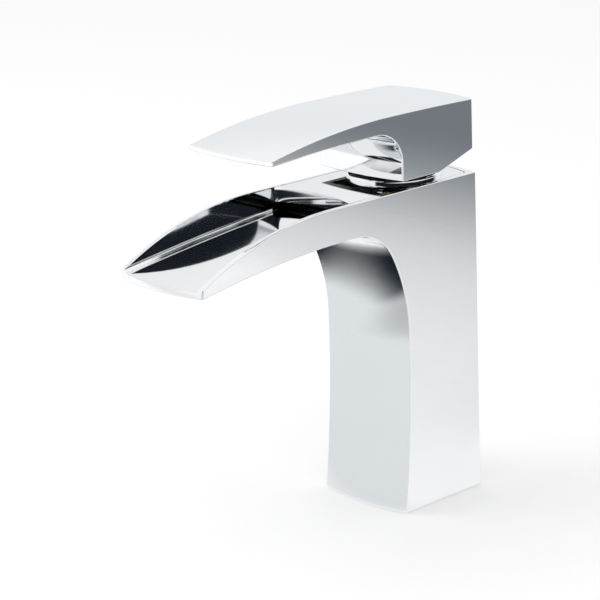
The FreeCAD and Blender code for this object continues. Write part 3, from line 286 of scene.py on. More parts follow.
def finish_piece(made):
    """Smooth shading inside faces, crisp at real edges, and metres."""
    builder = bmesh.new()
    builder.from_mesh(made.data)
    bmesh.ops.remove_doubles(builder, verts=builder.verts, dist=FINAL_WELD)
    bmesh.ops.dissolve_degenerate(builder, edges=builder.edges, dist=FINAL_WELD)
    bmesh.ops.recalc_face_normals(builder, faces=builder.faces)
    for face in builder.faces:
        face.smooth = True
    for edge in builder.edges:
        shallow = math.degrees(edge.calc_face_angle(180.0)) < CRISP_ANGLE
        edge.smooth = len(edge.link_faces) == 2 and shallow
    bmesh.ops.scale(builder, vec=(MM, MM, MM), verts=builder.verts)
    builder.to_mesh(made.data)
    builder.free()
    even = made.modifiers.new("even_normals", "WEIGHTED_NORMAL")
    even.keep_sharp = True
    even.weight = 100
    apply_modifiers(made)
    return made


# ---- Body casting ----
def tight_bend(hub):
    """Where the tight bend round hub ends, and the centre of the large arc that goes on from there.

    The two meet tangent, the large arc's centre lies at the waist's height, and it touches the waist.
    """
    low, high = 0.0, math.pi / 2
    halvings = 60
    for _ in range(halvings):
        turn = (low + high) / 2
        end = (hub[0] + ARCH_RADIUS * math.cos(turn), hub[1] + ARCH_RADIUS * math.sin(turn))
        slope = (WAIST_HEIGHT - hub[1]) / math.sin(turn)
        centre = (hub[0] + slope * math.cos(turn), WAIST_HEIGHT)
        if centre[0] + math.dist(centre, end) > -WAIST_FRONT:
            high = turn
        else:
            low = turn
    return end, centre


def body_outline():
    """Side outline (y, z) from the deck over the lip and the arch down to the foot."""
    flat_end = (-TOP_FLAT, DECK)
    lip = (-SPOUT_REACH, LIP_TOP)
    top = [(y, DECK) for y in spaced(0.0, -TOP_FLAT, 6)]
    top += arc(flat_end, lip, centre_on_vertical(flat_end, lip, -TOP_FLAT), 56, ANTICLOCKWISE)
    lip_foot = (-(SPOUT_REACH + LIP_LEAN), LIP_BOTTOM)
    peak = (-ARCH_REACH, ARCH_HEIGHT)
    under = [lip_foot]
    under += arc(lip_foot, peak, centre_on_vertical(lip_foot, peak, -ARCH_REACH), 56, CLOCKWISE)
    hub = (-ARCH_REACH, ARCH_HEIGHT - ARCH_RADIUS)
    bend_end, neck_centre = tight_bend(hub)
    bend = arc(peak, bend_end, hub, 28, CLOCKWISE)
    waist = (-WAIST_FRONT, WAIST_HEIGHT)
    neck = arc(bend_end, waist, neck_centre, 24, CLOCKWISE)
    base = (-BASE_FRONT, 0.0)
    column = arc(waist, base, centre_on_level(waist, base, WAIST_HEIGHT), 40, CLOCKWISE)
    return top + under + bend + neck + column


def top_height(y):
    """Top surface of the body before the bow shift."""
    if y > -TOP_FLAT:
        return DECK
    centre = centre_on_vertical((-TOP_FLAT, DECK), (-SPOUT_REACH, LIP_TOP), -TOP_FLAT)
    radius = DECK - centre[1]
    return centre[1] + math.sqrt(max(radius * radius - (y + TOP_FLAT) ** 2, 0.0))


def floor_centre():
    """Centre (y, z) of the large circle that the trough's floor follows along the spout."""
    front, back = (-(SPOUT_REACH + FRONT_BOW), FLOOR_LIP), (-GALLERY_BACK, FLOOR_BACK)
    chord = math.dist(front, back)
    along = ((back[0] - front[0]) / chord, (back[1] - front[1]) / chord)
    drop = math.sqrt(FLOOR_RADIUS ** 2 - chord ** 2 / 4)
    return ((front[0] + back[0]) / 2 + along[1] * drop, (front[1] + back[1]) / 2 - along[0] * drop)


def trough_cutter(builder):
    """Open channel: crowned floor, rounded floor corners, walls that open slightly at the rim."""
    lip = SPOUT_REACH + FRONT_BOW
    centre = floor_centre()
    shift = bow(INNER, HALF, FRONT_BOW)
    rings = []
    for y in spaced(-lip - BEYOND, -GALLERY_FRONT, 60):
        z = centre[1] + math.sqrt(FLOOR_RADIUS ** 2 - (max(y, -lip) - centre[0]) ** 2)
        wall_top = max(top_height(y + shift) - RIM_FLARE, z + FLOOR_FILLET + LEAST_WALL)
        half_ring = [(0.0, z)]
        half_ring += arc_plan((INNER - FLOOR_FILLET, z + FLOOR_FILLET), FLOOR_FILLET, 270, 360, 6)
        half_ring += [(INNER, wall_top), (INNER + FLARE_RUN, wall_top + FLARE_RUN),
                      (INNER + FLARE_RUN, DECK + BEYOND)]
        mirrored = [(-x, h) for x, h in reversed(half_ring[1:])]
        rings.append([(x, y, h) for x, h in half_ring + mirrored])
    loft(builder, rings)


def gallery_cutter(builder):
    wide = INNER - LEDGE
    box(builder, (-wide, -GALLERY_FRONT - OVERLAP, GALLERY_FLOOR), (wide, -GALLERY_BACK, DECK + BEYOND))


def sump_cutter(builder):
    box(builder, (-SUMP_HALF, -SUMP_FRONT, SUMP_FLOOR),
        (SUMP_HALF, OVERLAP - GALLERY_BACK, LAND + OVERLAP))


def passage_cutter(builder):
    box(builder, (-PASSAGE_HALF, -PASSAGE_FRONT, SUMP_FLOOR),
        (PASSAGE_HALF, -PASSAGE_BACK, PASSAGE_TOP))


def hollow_cutter(builder):
    plan = rounded_rectangle((-HOLLOW_HALF, -HOLLOW_FRONT), (HOLLOW_HALF, HOLLOW_BACK), COLUMN_WALL)
    prism(builder, plan, -OVERLAP, HOLLOW_TOP)


def groove_cutter(builder):
    """Ring of the base seal's section, square in plan."""
    outer, inner = SEAL_INSET, SEAL_INSET + SEAL_WIDTH
    rings = []
    for inset, z in ((outer, -OVERLAP), (outer, SEAL_DEPTH), (inner, SEAL_DEPTH), (inner, -OVERLAP)):
        plan = rectangle((inset - HALF, inset - BASE_FRONT), (HALF - inset, BASE_BACK - inset))
        rings.append([(x, y, z) for x, y in plan])
    join_rings(builder, rings, all_round=True)


def make_body():
    def solid(builder):
        rear = [(BASE_BACK, z) for z in spaced(0.0, DECK, 4)]
        bowed_solid(builder, body_outline(), rear, 44)
        round_edges(builder, EDGE_ROUND, 3)

    body = new_object("faucet_body_chrome", solid)
    cut(body, "trough", trough_cutter)
    cut(body, "gallery", gallery_cutter)
    cut(body, "recess", lambda b: prism(b, plate_plan(0.0), LAND, DECK + BEYOND))
    cut(body, "sump", sump_cutter)
    cut(body, "chamber", lambda b: cylinder(b, 0, 0, CHAMBER_RADIUS, SEAT, LAND + OVERLAP, 96))
    cut(body, "passage", passage_cutter)

    hollow = new_object("hollow", hollow_cutter)
    riser, stud = INLET_THREAD + RISER_WALL, STUD_THREAD + STUD_WALL
    for x, y, radius in ((-RISER_X, RISER_Y, riser), (RISER_X, RISER_Y, riser), (0.0, STUD_Y, stud)):
        cut(hollow, "boss", lambda b: cylinder(b, x, y, radius, BOSS_BOTTOM, HOLLOW_TOP + OVERLAP))
    combine(body, hollow, "DIFFERENCE")

    start, end = BOSS_BOTTOM / 2, SEAT + 1.5 * OVERLAP
    for x, y, radius, low, high in (
            (-RISER_X, RISER_Y, RISER_BORE, start, end),
            (RISER_X, RISER_Y, RISER_BORE, start, end),
            (-RISER_X, RISER_Y, INLET_THREAD, start, BOSS_BOTTOM + INLET_DEPTH),
            (RISER_X, RISER_Y, INLET_THREAD, start, BOSS_BOTTOM + INLET_DEPTH),
            (0.0, STUD_Y, STUD_THREAD, start, BOSS_BOTTOM + STUD_DEPTH),
            (-PEG_X, PEG_Y, PEG_HOLE, SEAT - PEG_DEPTH, end),
            (PEG_X, PEG_Y, PEG_HOLE, SEAT - PEG_DEPTH, end)):
        cut(body, "bore", lambda b: cylinder(b, x, y, radius, low, high, 48))
    cut(body, "groove", groove_cutter)
    return finish_piece(body)


# ---- Deck plate ----
def plate_front(gap):
    """The plate's curved front edge, from left to right."""
    wide = INNER - gap
    return [(x, -PLATE_REACH + bow(x, wide, PLATE_BOW)) for x in spaced(-wide, wide, 48)]


def plate_plan(gap):
    """The plate's outline, smaller all round by gap than its recess, except at the front."""
    inner = INNER - gap - PLATE_CORNER
    rear = BASE_BACK - RIM - gap
    points = plate_front(gap)
    points += arc_plan((inner, rear - PLATE_CORNER), PLATE_CORNER, 0, 90, 8)
    points += [(x, rear + bow(x, inner, BACK_BOW)) for x in spaced(inner, -inner, 48)[1:-1]]
    points += arc_plan((-inner, rear - PLATE_CORNER), PLATE_CORNER, 90, 180, 8)
    return points


def make_plate():
    def on_top(edge):
        return all(vert.co.z > DECK - PLATE_EDGE / 2 for vert in edge.verts)

    def solid(builder):
        prism(builder, plate_plan(PLATE_GAP), DECK - PLATE_THICK, DECK)
        round_edges(builder, PLATE_EDGE, 2, on_top)

    def skirt(builder):
        front = plate_front(PLATE_GAP)
        rear = [(x, y + SKIRT_THICK) for x, y in reversed(front)]
        prism(builder, front + rear, DECK - SKIRT_DEPTH, DECK - PLATE_THICK + JOIN)

    plate = new_object("deck_plate_chrome", solid)
    combine(plate, new_object("skirt", skirt), "UNION")
    bottom = DECK - PLATE_THICK - BEYOND
    cut(plate, "hole", lambda b: cylinder(b, 0, 0, PLATE_HOLE, bottom, DECK + BEYOND, 128))
    return finish_piece(plate)


# ---- Bonnet ----
def make_bonnet():
    """Steep flank that rounds over towards a soft shoulder, and a slightly crowned top."""
    outline = [(BONNET_INSIDE, 0.0), (BONNET_RADIUS, 0.0), (BONNET_RADIUS, BONNET_FOOT)]
    for t in spaced(0.0, 1.0, 12)[1:]:
        outline.append((BONNET_RADIUS - BONNET_DRAW * t ** BONNET_DRAW_POWER,
                        BONNET_FOOT + (BONNET_SHOULDER - BONNET_FOOT) * t))
    shoulder = BONNET_RADIUS - BONNET_DRAW - SHOULDER_WIDTH
    for t in spaced(0.0, math.pi / 2, 8)[1:]:
        outline.append((shoulder + SHOULDER_WIDTH * math.cos(t),
                        BONNET_SHOULDER + SHOULDER_RISE * math.sin(t)))
    outline += [(BONNET_CROWN_RADIUS, BONNET_CROWN), (BONNET_MOUTH + MOUTH_BREAK, BONNET_TOP),
                (BONNET_MOUTH, BONNET_TOP - MOUTH_BREAK / 2), (BONNET_MOUTH, BONNET_ROOF),
                (BONNET_INSIDE, BONNET_ROOF)]
    profile = [(radius, DECK + rise) for radius, rise in outline]
    return finish_piece(new_object("bonnet_chrome", lambda b: lathe(b, profile, 144)))


# ---- Handle ----
def tail_share(y):
    """0 up to the crown, then rising to 1 at the rear end."""
    return max(0.0, (y + CROWN_REACH) / (TAIL_REACH + CROWN_REACH))


def handle_outline():
    """Side outlines (y, z) of the handle's top, from the tip back, and of its underside, to the tip."""
    tip, crown = (-TIP_REACH, TIP_TOP), (-CROWN_REACH, CROWN)
    top = [tip] + arc(tip, crown, centre_on_vertical(tip, crown, -CROWN_REACH), 40, CLOCKWISE)
    for y in spaced(-CROWN_REACH, TAIL_REACH, 16)[1:]:
        top.append((y, CROWN - (CROWN - TAIL_TOP) * tail_share(y) ** 2))
    bend_start = (-HUB_FRONT, HUB_FILLET_TOP - HUB_FILLET)
    bend_end = (-(HUB_FRONT + HUB_FILLET), HUB_FILLET_TOP)
    under = [(-HUB_FRONT, HUB_BOTTOM), bend_start]
    under += arc(bend_start, bend_end, (bend_end[0], bend_start[1]), 28, ANTICLOCKWISE)
    tip_low = (-TIP_REACH, TIP_TOP - TIP_THICK)
    under += arc(bend_end, tip_low, centre_on_vertical(bend_end, tip_low, bend_end[0]), 36, ANTICLOCKWISE)
    return top, under


def handle_solid(builder):
    """Both outlines bow forward across the width; the top's rear end follows the rear face's own bow."""
    top, under = handle_outline()
    slope = (TAIL_BOTTOM - HUB_BOTTOM) / (TAIL_REACH - HUB_FLAT_BACK)
    rings = []
    for x in stations(HALF, 40):
        ahead, behind = bow(x, HALF, TIP_BOW), bow(x, HALF, TAIL_BOW)
        start, end = HUB_FLAT_BACK - ahead, TAIL_REACH + behind
        ring = []
        for y, z in top:
            share = tail_share(y)
            ring.append((x, y - ahead * (1 - share) + behind * share, z))
        ring.append((x, end, HUB_BOTTOM + (end - start) * slope))
        ring.append((x, start, HUB_BOTTOM))
        ring += [(x, y - ahead, z) for y, z in under]
        rings.append(ring)
    loft(builder, rings)
    round_edges(builder, EDGE_ROUND, 3)


def hub_hollow(builder):
    half, front, rear = HALF - HUB_WALL, HUB_FRONT_WALL - HUB_FRONT, TAIL_REACH - HUB_WALL
    plan = [(-half, front), (half, front)]
    plan += [(x, rear + bow(x, half, TAIL_BOW)) for x in spaced(half, -half, 24)]
    prism(builder, plan, HUB_BOTTOM - BEYOND - OVERLAP, CROWN - HUB_ROOF)


def lying_bore(radius, start, end):
    """Builder of a round cutter that runs backward at the screw's height."""
    def build(builder):
        cylinder(builder, 0, 0, radius, start, end, 48)
        lay_back(builder)
    return build


def make_handle():
    handle = new_object("handle_chrome", handle_solid)
    hollow = new_object("hub_hollow", hub_hollow)
    cut(hollow, "boss", lambda b: cylinder(b, 0, 0, HUB_BOSS_RADIUS, HUB_BOSS_BOTTOM, CROWN))
    combine(handle, hollow, "DIFFERENCE")
    cut(handle, "socket", lambda b: box(b, (-SOCKET_HALF, -SOCKET_HALF, SOCKET_BOTTOM),
                                        (SOCKET_HALF, SOCKET_HALF, SOCKET_TOP)))
    cut(handle, "thread", lying_bore(SCREW_THREAD, THREAD_START, THREAD_END))
    cut(handle, "access", lying_bore(SCREW_ACCESS, ACCESS_START, ACCESS_END))
    cut(handle, "plug_seat", lying_bore(PLUG_SEAT_RADIUS, PLUG_SEAT, PLUG_SEAT_END))
    return finish_piece(handle)


def make_plug():
    """Round plug in the rear of the hub, its head slightly domed."""
    axis, chamfer_in, chamfer_up = 0.01, 0.35, 0.3
    shank = [(axis, PLUG_START), (PLUG_SHANK - chamfer_in, PLUG_START),
             (PLUG_SHANK, PLUG_START + chamfer_up)]
    head = [(PLUG_SHANK, PLUG_SEAT), (PLUG_HEAD, PLUG_SEAT), (PLUG_HEAD, PLUG_RIM)]
    drops = ((4.0, 0.12), (3.0, 0.04), (1.5, 0.01), (axis, 0.0))
    dome = [(radius, PLUG_TOP - drop) for radius, drop in drops]

    def solid(builder):
        lathe(builder, shank + head + dome, 64)
        lay_back(builder)

    return finish_piece(new_object("screw_plug_grey", solid))


# ---- Materials ----
# Noise values between these two carry the whole range of a material.
NOISE_LOW, NOISE_HIGH = 0.3, 0.7


def material(name):
    made = bpy.data.materials.new(name)
    made.use_nodes = True
    return made, made.node_tree, made.node_tree.nodes["Principled BSDF"]


def noise(tree, scale, detail):
    place = tree.nodes.new("ShaderNodeTexCoord")
    grain = tree.nodes.new("ShaderNodeTexNoise")
    grain.inputs["Scale"].default_value = scale
    grain.inputs["Detail"].default_value = detail
    tree.links.new(place.outputs["Object"], grain.inputs["Vector"])
    return grain


def vary(tree, grain, low, high, socket):
    """Maps noise to a value between low and high."""
    step = tree.nodes.new("ShaderNodeMapRange")
    step.inputs["From Min"].default_value = NOISE_LOW
    step.inputs["From Max"].default_value = NOISE_HIGH
    step.inputs["To Min"].default_value = low
    step.inputs["To Max"].default_value = high
    tree.links.new(grain.outputs["Fac"], step.inputs["Value"])
    tree.links.new(step.outputs["Result"], socket)


def tint(tree, grain, dark, light, socket):
    """Maps noise to a colour between dark and light."""
    step = tree.nodes.new("ShaderNodeValToRGB")
    for element, place, colour in zip(step.color_ramp.elements, (NOISE_LOW, NOISE_HIGH), (dark, light)):
        element.position = place
        element.color = (*colour, 1)
    tree.links.new(grain.outputs["Fac"], step.inputs["Fac"])
    tree.links.new(step.outputs["Color"], socket)


def bump(tree, grain, shader, strength, distance):
    step = tree.nodes.new("ShaderNodeBump")
    step.inputs["Strength"].default_value = strength
    step.inputs["Distance"].default_value = distance
    tree.links.new(grain.outputs["Fac"], step.inputs["Height"])
    tree.links.new(step.outputs["Normal"], shader.inputs["Normal"])


def metal(name, dark, light, smooth, rough, scale, grain_bump=0.0):
    made, tree, shader = material(name)
    shader.inputs["Metallic"].default_value = 1.0
    grain = noise(tree, scale, detail=5.0)
    tint(tree, grain, dark, light, shader.inputs["Base Color"])
    vary(tree, grain, smooth, rough, shader.inputs["Roughness"])
    if grain_bump:
        bump(tree, noise(tree, scale * 12, detail=3.0), shader, grain_bump, distance=0.0002)
    return made


def plastic(name, dark, light, smooth, rough, scale=200.0, grain_bump=0.1):
    made, tree, shader = material(name)
    grain = noise(tree, scale, detail=4.0)
    tint(tree, grain, dark, light, shader.inputs["Base Color"])
    vary(tree, grain, smooth, rough, shader.inputs["Roughness"])
    bump(tree, noise(tree, scale * 8, detail=4.0), shader, grain_bump, distance=0.0001)
    return made


chrome = metal("chrome", (0.88, 0.89, 0.90), (0.905, 0.912, 0.92), 0.04, 0.065, 22.0)
# Near-black metal: bare casting where plating doesn't reach, darkened far below bare metal's own tone as
# painted shade.
bare_metal_and_painted_shade = metal("bare_metal_and_painted_shade", (0.020, 0.020, 0.021), (0.040, 0.040, 0.041), 0.38, 0.55, 90.0, 0.12)
brass = metal("brass", (0.66, 0.47, 0.20), (0.74, 0.55, 0.26), 0.22, 0.38, 90.0, 0.12)
steel = metal("steel", (0.50, 0.50, 0.51), (0.60, 0.60, 0.61), 0.22, 0.36, 120.0, 0.10)
housing_plastic = plastic("housing_plastic", (0.60, 0.61, 0.62), (0.68, 0.69, 0.70), 0.35, 0.50)
inner_plastic = plastic("inner_plastic", (0.80, 0.80, 0.77), (0.87, 0.87, 0.84), 0.32, 0.46)
limit_plastic = plastic("limit_plastic", (0.55, 0.035, 0.03), (0.64, 0.05, 0.04), 0.34, 0.48)
plug_plastic = plastic("plug_plastic", (0.30, 0.31, 0.32), (0.37, 0.38, 0.39), 0.25, 0.38)
ceramic = plastic("ceramic", (0.83, 0.82, 0.78), (0.90, 0.89, 0.86), 0.10, 0.20, 60.0, 0.03)
rubber = plastic("rubber", (0.018, 0.018, 0.019), (0.03, 0.03, 0.032), 0.55, 0.75, 300.0, 0.25)


def wear(piece, finish):
    piece.data.materials.clear()
    piece.data.materials.append(finish)


# ---- Faces that the plating doesn't reach, darkened to painted shade ----
# How far outside a hollow's size a face may lie and still count as inside it, in millimetres
SLACK = 0.1
# Limits of a normal's upward part for a face that looks down, and of its backward part for one that
# looks back
DOWN, ROUGHLY_DOWN, ROUGHLY_BACK = -0.9, -0.5, 0.3


def put_bare_metal_and_shade(piece, picks):
    """Puts near-black metal, bare metal darkened to painted shade, on the faces that picks accepts by their
    centre, in millimetres, and normal.
    """
    piece.data.materials.append(bare_metal_and_painted_shade)
    for face in piece.data.polygons:
        if picks(face.center / MM, face.normal):
            face.material_index = 1


def bare_and_shaded_in_body(at, _):
    # Gallery, chamber and column hollow: unplated metal there, its near-black tone painted shade.
    above_passage = PASSAGE_TOP + 1.8
    gallery = (abs(at.x) < INNER + SLACK / 2 and -PLATE_REACH < at.y < BASE_BACK
               and above_passage < at.z < LAND - SLACK / 2)
    chamber = math.hypot(at.x, at.y) < CHAMBER_RADIUS + SLACK and at.z > HOLLOW_TOP + OVERLAP
    hollow = (abs(at.x) < HOLLOW_HALF + SLACK and at.z < HOLLOW_TOP + SLACK
              and -HOLLOW_FRONT - SLACK < at.y < HOLLOW_BACK + SLACK)
    return gallery or chamber or hollow


def bare_and_shaded_in_plate(at, facing):
    # Painted shade: the plate's underside and the skirt's rear go near-black.
    underside = facing.z < ROUGHLY_DOWN
    skirt_rear = facing.y > ROUGHLY_BACK and at.z < DECK - PLATE_THICK and at.y < 0
    return underside or skirt_rear


def bare_and_shaded_in_handle(at, facing):
    """The hollow's sides, and of the faces that look down only the hub's lower rim, where the dark is
    painted shade under the hub.
    """
    if facing.z < DOWN:
        return at.z < HUB_BOTTOM + EDGE_ROUND
    rear = TAIL_REACH - HUB_WALL + TAIL_BOW + 2 * SLACK
    return (abs(at.x) < HALF - HUB_WALL + SLACK and at.z < CROWN - HUB_ROOF + SLACK
            and HUB_FRONT_WALL - HUB_FRONT - SLACK < at.y < rear)


# ---- Pieces on their bodies ----
for build, finish, picks, body, node, place in (
        (make_body, chrome, bare_and_shaded_in_body, "column", "faucet_body", "chrome"),
        (make_plate, chrome, bare_and_shaded_in_plate, "column", "deck_plate", "chrome"),
        (make_bonnet, chrome, None, "column", "bonnet", "chrome"),
        (make_handle, chrome, bare_and_shaded_in_handle, "lever", "handle", "chrome"),
        (make_plug, plug_plastic, None, "lever", "screw_plug", "plug_plastic")):
    piece = build()
    wear(piece, finish)
    if picks:
        put_bare_metal_and_shade(piece, picks)
    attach(piece, body)
    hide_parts(node)

for names, finish in (
        (("cartridge_nut", "lever_stem"), brass),
        (("pivot_pin", "handle_screw"), steel),
        (("cartridge_housing",), housing_plastic),
        (("cartridge_base", "disc_carrier", "rotor"), inner_plastic),
        (("limit_ring",), limit_plastic),
        (("fixed_disc", "moving_disc"), ceramic),
        (("base_seal", "plate_gasket", "chamber_seal", "hot_port_seal", "cold_port_seal", "disc_seal"),
         rubber)):
    for name in names:
        wear(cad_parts[name], finish)


# ---- Studio, in metres ----
PAPER_HALF, PAPER_GREY, PAPER_GLOW = 6.0, 0.80, 0.24
SKY_LIGHT, SKY_SEEN = 0.80, 1.0
LAMP_AIM, LAMP_SIZE = (0, -0.05, 0.08), 1.2
CARD_RADIUS = 0.95
X, Y, Z = (1, 0, 0), (0, 1, 0), (0, 0, 1)

BLACK, SOFT_BLACK = (0.010, 0.013, 0.018), (0.012, 0.016, 0.022)
DARK_GREY, MID_GREY = (0.185, 0.205, 0.225), (0.34, 0.36, 0.38)
LIGHT_GREY, PALE_GREY = (0.66, 0.70, 0.725), (0.87, 0.885, 0.90)
WHITE, BRIGHT = (0.98, 0.99, 1.0), (1.05, 1.06, 1.07)


def times(tree, value, factor):
    """A node's value times a number or another node's value."""
    step = tree.nodes.new("ShaderNodeMath")
    step.operation = "MULTIPLY"
    tree.links.new(value, step.inputs[0])
    if isinstance(factor, float):
        step.inputs[1].default_value = factor
    else:
        tree.links.new(factor, step.inputs[1])
    return step.outputs["Value"]


def shown(tree):
    """1 for the rays that show the background: camera, glossy and transmission rays."""
    rays = tree.nodes.new("ShaderNodeLightPath")
    seen = rays.outputs["Is Camera Ray"]
    for name in ("Is Glossy Ray", "Is Transmission Ray"):
        step = tree.nodes.new("ShaderNodeMath")
        step.operation = "MAXIMUM"
        tree.links.new(seen, step.inputs[0])
        tree.links.new(rays.outputs[name], step.inputs[1])
        seen = step.outputs["Value"]
    return seen


def make_floor():
    """White paper that keeps the object's shadow and glows a little where it is seen."""
    def sheet(builder):
        corners = rectangle((-PAPER_HALF, -PAPER_HALF), (PAPER_HALF, PAPER_HALF))
        builder.faces.new([builder.verts.new((x, y, 0)) for x, y in corners])

    floor = new_object("floor", sheet)
    made, tree, shader = material("floor_paper")
    shader.inputs["Base Color"].default_value = (PAPER_GREY, PAPER_GREY, PAPER_GREY, 1)
    shader.inputs["Roughness"].default_value = 1.0
    shader.inputs["Specular IOR Level"].default_value = 0.0
    shader.inputs["Emission Color"].default_value = (1, 1, 1, 1)
    tree.links.new(times(tree, shown(tree), PAPER_GLOW), shader.inputs["Emission Strength"])
    floor.data.materials.append(made)


def make_world():
    world = bpy.data.worlds.new("studio")
    world.use_nodes = True
    tree = world.node_tree
    sky = tree.nodes["Background"]
    sky.inputs["Color"].default_value = (1, 1, 1, 1)
    step = tree.nodes.new("ShaderNodeMapRange")
    step.inputs["To Min"].default_value = SKY_LIGHT
    step.inputs["To Max"].default_value = SKY_SEEN
    tree.links.new(shown(tree), step.inputs["Value"])
    tree.links.new(step.outputs["Result"], sky.inputs["Strength"])
    bpy.context.scene.world = world


def lamp(name, place, power):
    light = bpy.data.lights.new(name, "AREA")
    light.shape = "SQUARE"
    light.size = LAMP_SIZE
    light.energy = power
    made = bpy.data.objects.new(name, light)
    made.location = place
    made.rotation_euler = (Vector(LAMP_AIM) - Vector(place)).to_track_quat("-Z", "Y").to_euler()
    made.visible_glossy = False
    bpy.context.scene.collection.objects.link(made)


def fade(tree, operation, point, start, end):
    """0 before start, 1 after end, smooth between; end may be below start.

    DOT_PRODUCT measures along the direction point, and DISTANCE away from the place point.
    """
    place = tree.nodes.new("ShaderNodeTexCoord")
    measure = tree.nodes.new("ShaderNodeVectorMath")
    measure.operation = operation
    measure.inputs[1].default_value = point
    tree.links.new(place.outputs["Object"], measure.inputs[0])
    step = tree.nodes.new("ShaderNodeMapRange")
    step.interpolation_type = "SMOOTHSTEP"
    step.inputs["From Min"].default_value = start
    step.inputs["From Max"].default_value = end
    tree.links.new(measure.outputs["Value"], step.inputs["Value"])
    return step.outputs["Result"]


def card_material(name, tone, fades, depth, ring):
    made = bpy.data.materials.new(name)
    made.use_nodes = True
    tree = made.node_tree
    tree.nodes.remove(tree.nodes["Principled BSDF"])
    parts = [fade(tree, "DOT_PRODUCT", *values) for values in fades]
    if ring:
        parts.append(fade(tree, "DISTANCE", *ring))
    level = parts[0]
    for part in parts[1:]:
        level = times(tree, level, part)
    clear = tree.nodes.new("ShaderNodeBsdfTransparent")
    painted_glow = tree.nodes.new("ShaderNodeEmission")
    painted_glow.inputs["Color"].default_value = (*tone, 1)
    mix = tree.nodes.new("ShaderNodeMixShader")
    tree.links.new(times(tree, level, depth), mix.inputs["Fac"])
    tree.links.new(clear.outputs["BSDF"], mix.inputs[1])
    tree.links.new(painted_glow.outputs["Emission"], mix.inputs[2])
    tree.links.new(mix.outputs["Shader"], tree.nodes["Material Output"].inputs["Surface"])
    return made


def card(name, outline, heights, tone, fades, depth=1.0, ring=None):
    """A studio card of painted reflection: a glowing tone that only reflections show.

    It lies flat at the one height in heights, or stands on outline, a list of (x, y), between two of them.
    fades are (direction, start, end): along that direction the card goes from clear at start to full at end.
    depth is how much of what is behind the card it hides. ring is (centre, start, end) of a round fade.
    """
    def build(builder):
        rows = [[builder.verts.new((x, y, z)) for x, y in outline] for z in heights]
        if len(rows) == 1:
            builder.faces.new(rows[0])
            return
        foot, head = rows
        for k in range(len(outline) - 1):
            builder.faces.new((foot[k], foot[k + 1], head[k + 1], head[k]))

    made = new_object(name, build)
    made.data.materials.append(card_material(name, tone, fades, depth, ring))
    made.visible_camera = False
    made.visible_diffuse = False
    made.visible_shadow = False
    made.visible_transmission = False
    made.visible_volume_scatter = False


make_floor()
make_world()
lamp("key", (-0.9, -1.0, 1.5), 9.0)
lamp("fill", (1.1, -0.7, 1.1), 3.0)

# Flat cards. Each lies at a height of its own, because two in one plane would show through each other.
# Painted reflection: in reflections the floor falls off to grey behind, so the sides of body and handle
# darken towards their rear tops.
card("card_rear_floor", rectangle((-0.5, 0.1), (1.6, 1.4)), (0.002,), DARK_GREY,
     [(X, -0.5, -0.1), (Y, 0.11, 0.54)])
# Painted shade in reflections: nearer the object the floor shows only a shade darker.
card("card_near_floor", rectangle((0.03, 0.0), (1.0, 0.34)), (0.001,), DARK_GREY,
     [(X, 0.03, 0.08), (X, 1.0, 0.8), (Y, 0.02, 0.14), (Y, 0.32, 0.18)], 0.14)
# Painted pale reflection: close to the foot the floor stays pale in reflections, over its own shadow there,
# and so it does where the spout's end mirrors it.
card("card_foot_floor", rectangle((0.026, -0.08), (0.2, 0.12)), (0.0005,), WHITE,
     [(X, 0.14, 0.04), (Y, -0.08, -0.03), (Y, 0.12, 0.06)])
card("card_spout_floor", rectangle((0.30, 0.08), (0.8, 0.26)), (0.0012,), BRIGHT,
     [(X, 0.30, 0.38), (X, 0.8, 0.6), (Y, 0.08, 0.13), (Y, 0.26, 0.18)])
# Painted reflection: it falls off to grey to the right and to the left too, for the sides seen square on.
card("card_side_floor", rectangle((0.1, -0.8), (1.6, 0.1)), (0.0025,), MID_GREY,
     [(X, 0.15, 0.65), (Y, 0.09, -0.02), (Y, -0.8, -0.5)], 0.85)
card("card_left_floor", rectangle((-1.6, -0.08), (-0.2, 0.8)), (0.003,), MID_GREY,
     [(X, -0.22, -0.70), (Y, -0.07, 0.0), (Y, 0.8, 0.5)], 0.85)
# Painted reflection: in reflections the floor in front is a shade below white.
card("card_front_floor", rectangle((-1.0, -1.2), (0.4, -0.01)), (0.0015,), LIGHT_GREY,
     [(X, 0.4, 0.1), (Y, -0.01, -0.04)], 0.65, ((0, 0, 0.0015), 0.64, 0.44))
# A dark sheet under the spout that only reflections show, painted shadow of the spout, clear near the
# column: the bend above the column's front goes dark.
card("card_under", rectangle((-0.12, -0.12), (0.025, 0.0)), (0.090,), SOFT_BLACK,
     [(X, 0.025, 0.022), (X, -0.09, -0.06), (Y, -0.12, -0.09), ((-0.5, -1, 0), 0.015, 0.024)], 1.0,
     ((-0.010, 0.020, 0.090), 0.0431, 0.0631))
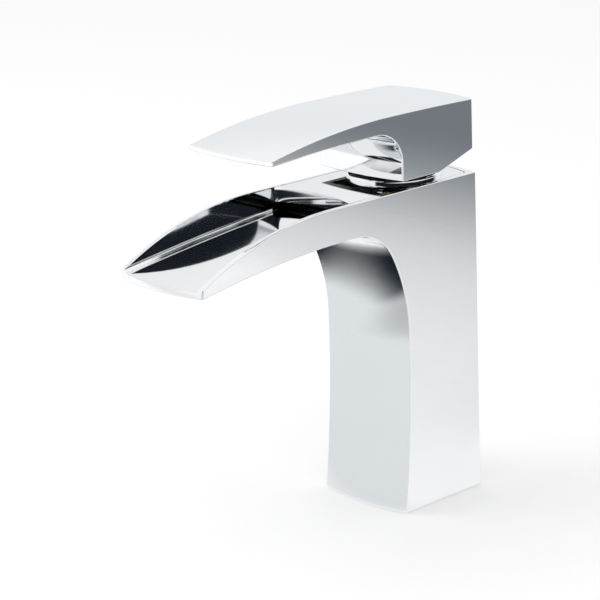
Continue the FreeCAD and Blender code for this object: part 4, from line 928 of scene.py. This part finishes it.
# Painted shadow too: the bend's right side starts to darken a little lower.
card("card_under_low", rectangle((-0.03, -0.08), (0.025, -0.02)), (0.074,), SOFT_BLACK,
     [(X, -0.022, 0.014), (Y, -0.021, -0.048), (Y, -0.08, -0.06)], 0.34)

# Upright cards, curved round the object.
# Painted dark reflection, black, from the front round to the right rear: the trough's walls and the deck's
# rear edge go dark.
card("card_right", arc_plan((0, 0), CARD_RADIUS, 265, 440, 48), (0.06, 0.78), BLACK,
     [(X, -0.08, 0.04), (Y, 0.93, 0.80), ((-0.30, 0, 1), 0.0, 0.05), (Z, 0.78, 0.66)])
# Painted reflection, pale, at the left rear: the handle's top stays a shade below the background.
card("card_back", arc_plan((0, 0), CARD_RADIUS, 95, 175, 24), (0.20, 0.80), PALE_GREY,
     [(Z, 0.20, 0.30), (Z, 0.80, 0.50)])


# ---- Camera at the photograph's angle ----
AZIMUTH = math.radians(47.646)
ELEVATION = math.radians(17.515)
ROLL = math.radians(-2.348)
DISTANCE = 0.93057
TARGET = Vector((0, -0.051045, 0.080))
# In the photograph's pixels
FOCAL, CENTRE_X, CENTRE_Y, FRAME_SIDE = 2224.97, 312.41, 340.705, 600.0
SENSOR_WIDTH = 36.0

back = Vector((math.sin(AZIMUTH) * math.cos(ELEVATION), -math.cos(AZIMUTH) * math.cos(ELEVATION),
               math.sin(ELEVATION)))
right = Vector((math.cos(AZIMUTH), math.sin(AZIMUTH), 0))
up = back.cross(right)
turned_right = right * math.cos(ROLL) + up * math.sin(ROLL)
turned_up = up * math.cos(ROLL) - right * math.sin(ROLL)
axes = Matrix((turned_right, turned_up, back)).transposed().to_4x4()
axes.translation = TARGET + back * DISTANCE

lens = bpy.data.cameras.new("camera")
lens.sensor_width = SENSOR_WIDTH
lens.lens = FOCAL / FRAME_SIDE * SENSOR_WIDTH
lens.shift_x = -(CENTRE_X - FRAME_SIDE / 2) / FRAME_SIDE
lens.shift_y = (CENTRE_Y - FRAME_SIDE / 2) / FRAME_SIDE
lens.clip_start, lens.clip_end = 0.02, 50.0
camera = bpy.data.objects.new("camera", lens)
camera.matrix_world = axes
bpy.context.scene.collection.objects.link(camera)
bpy.context.scene.camera = camera
bpy.context.scene.view_settings.view_transform = "Standard"
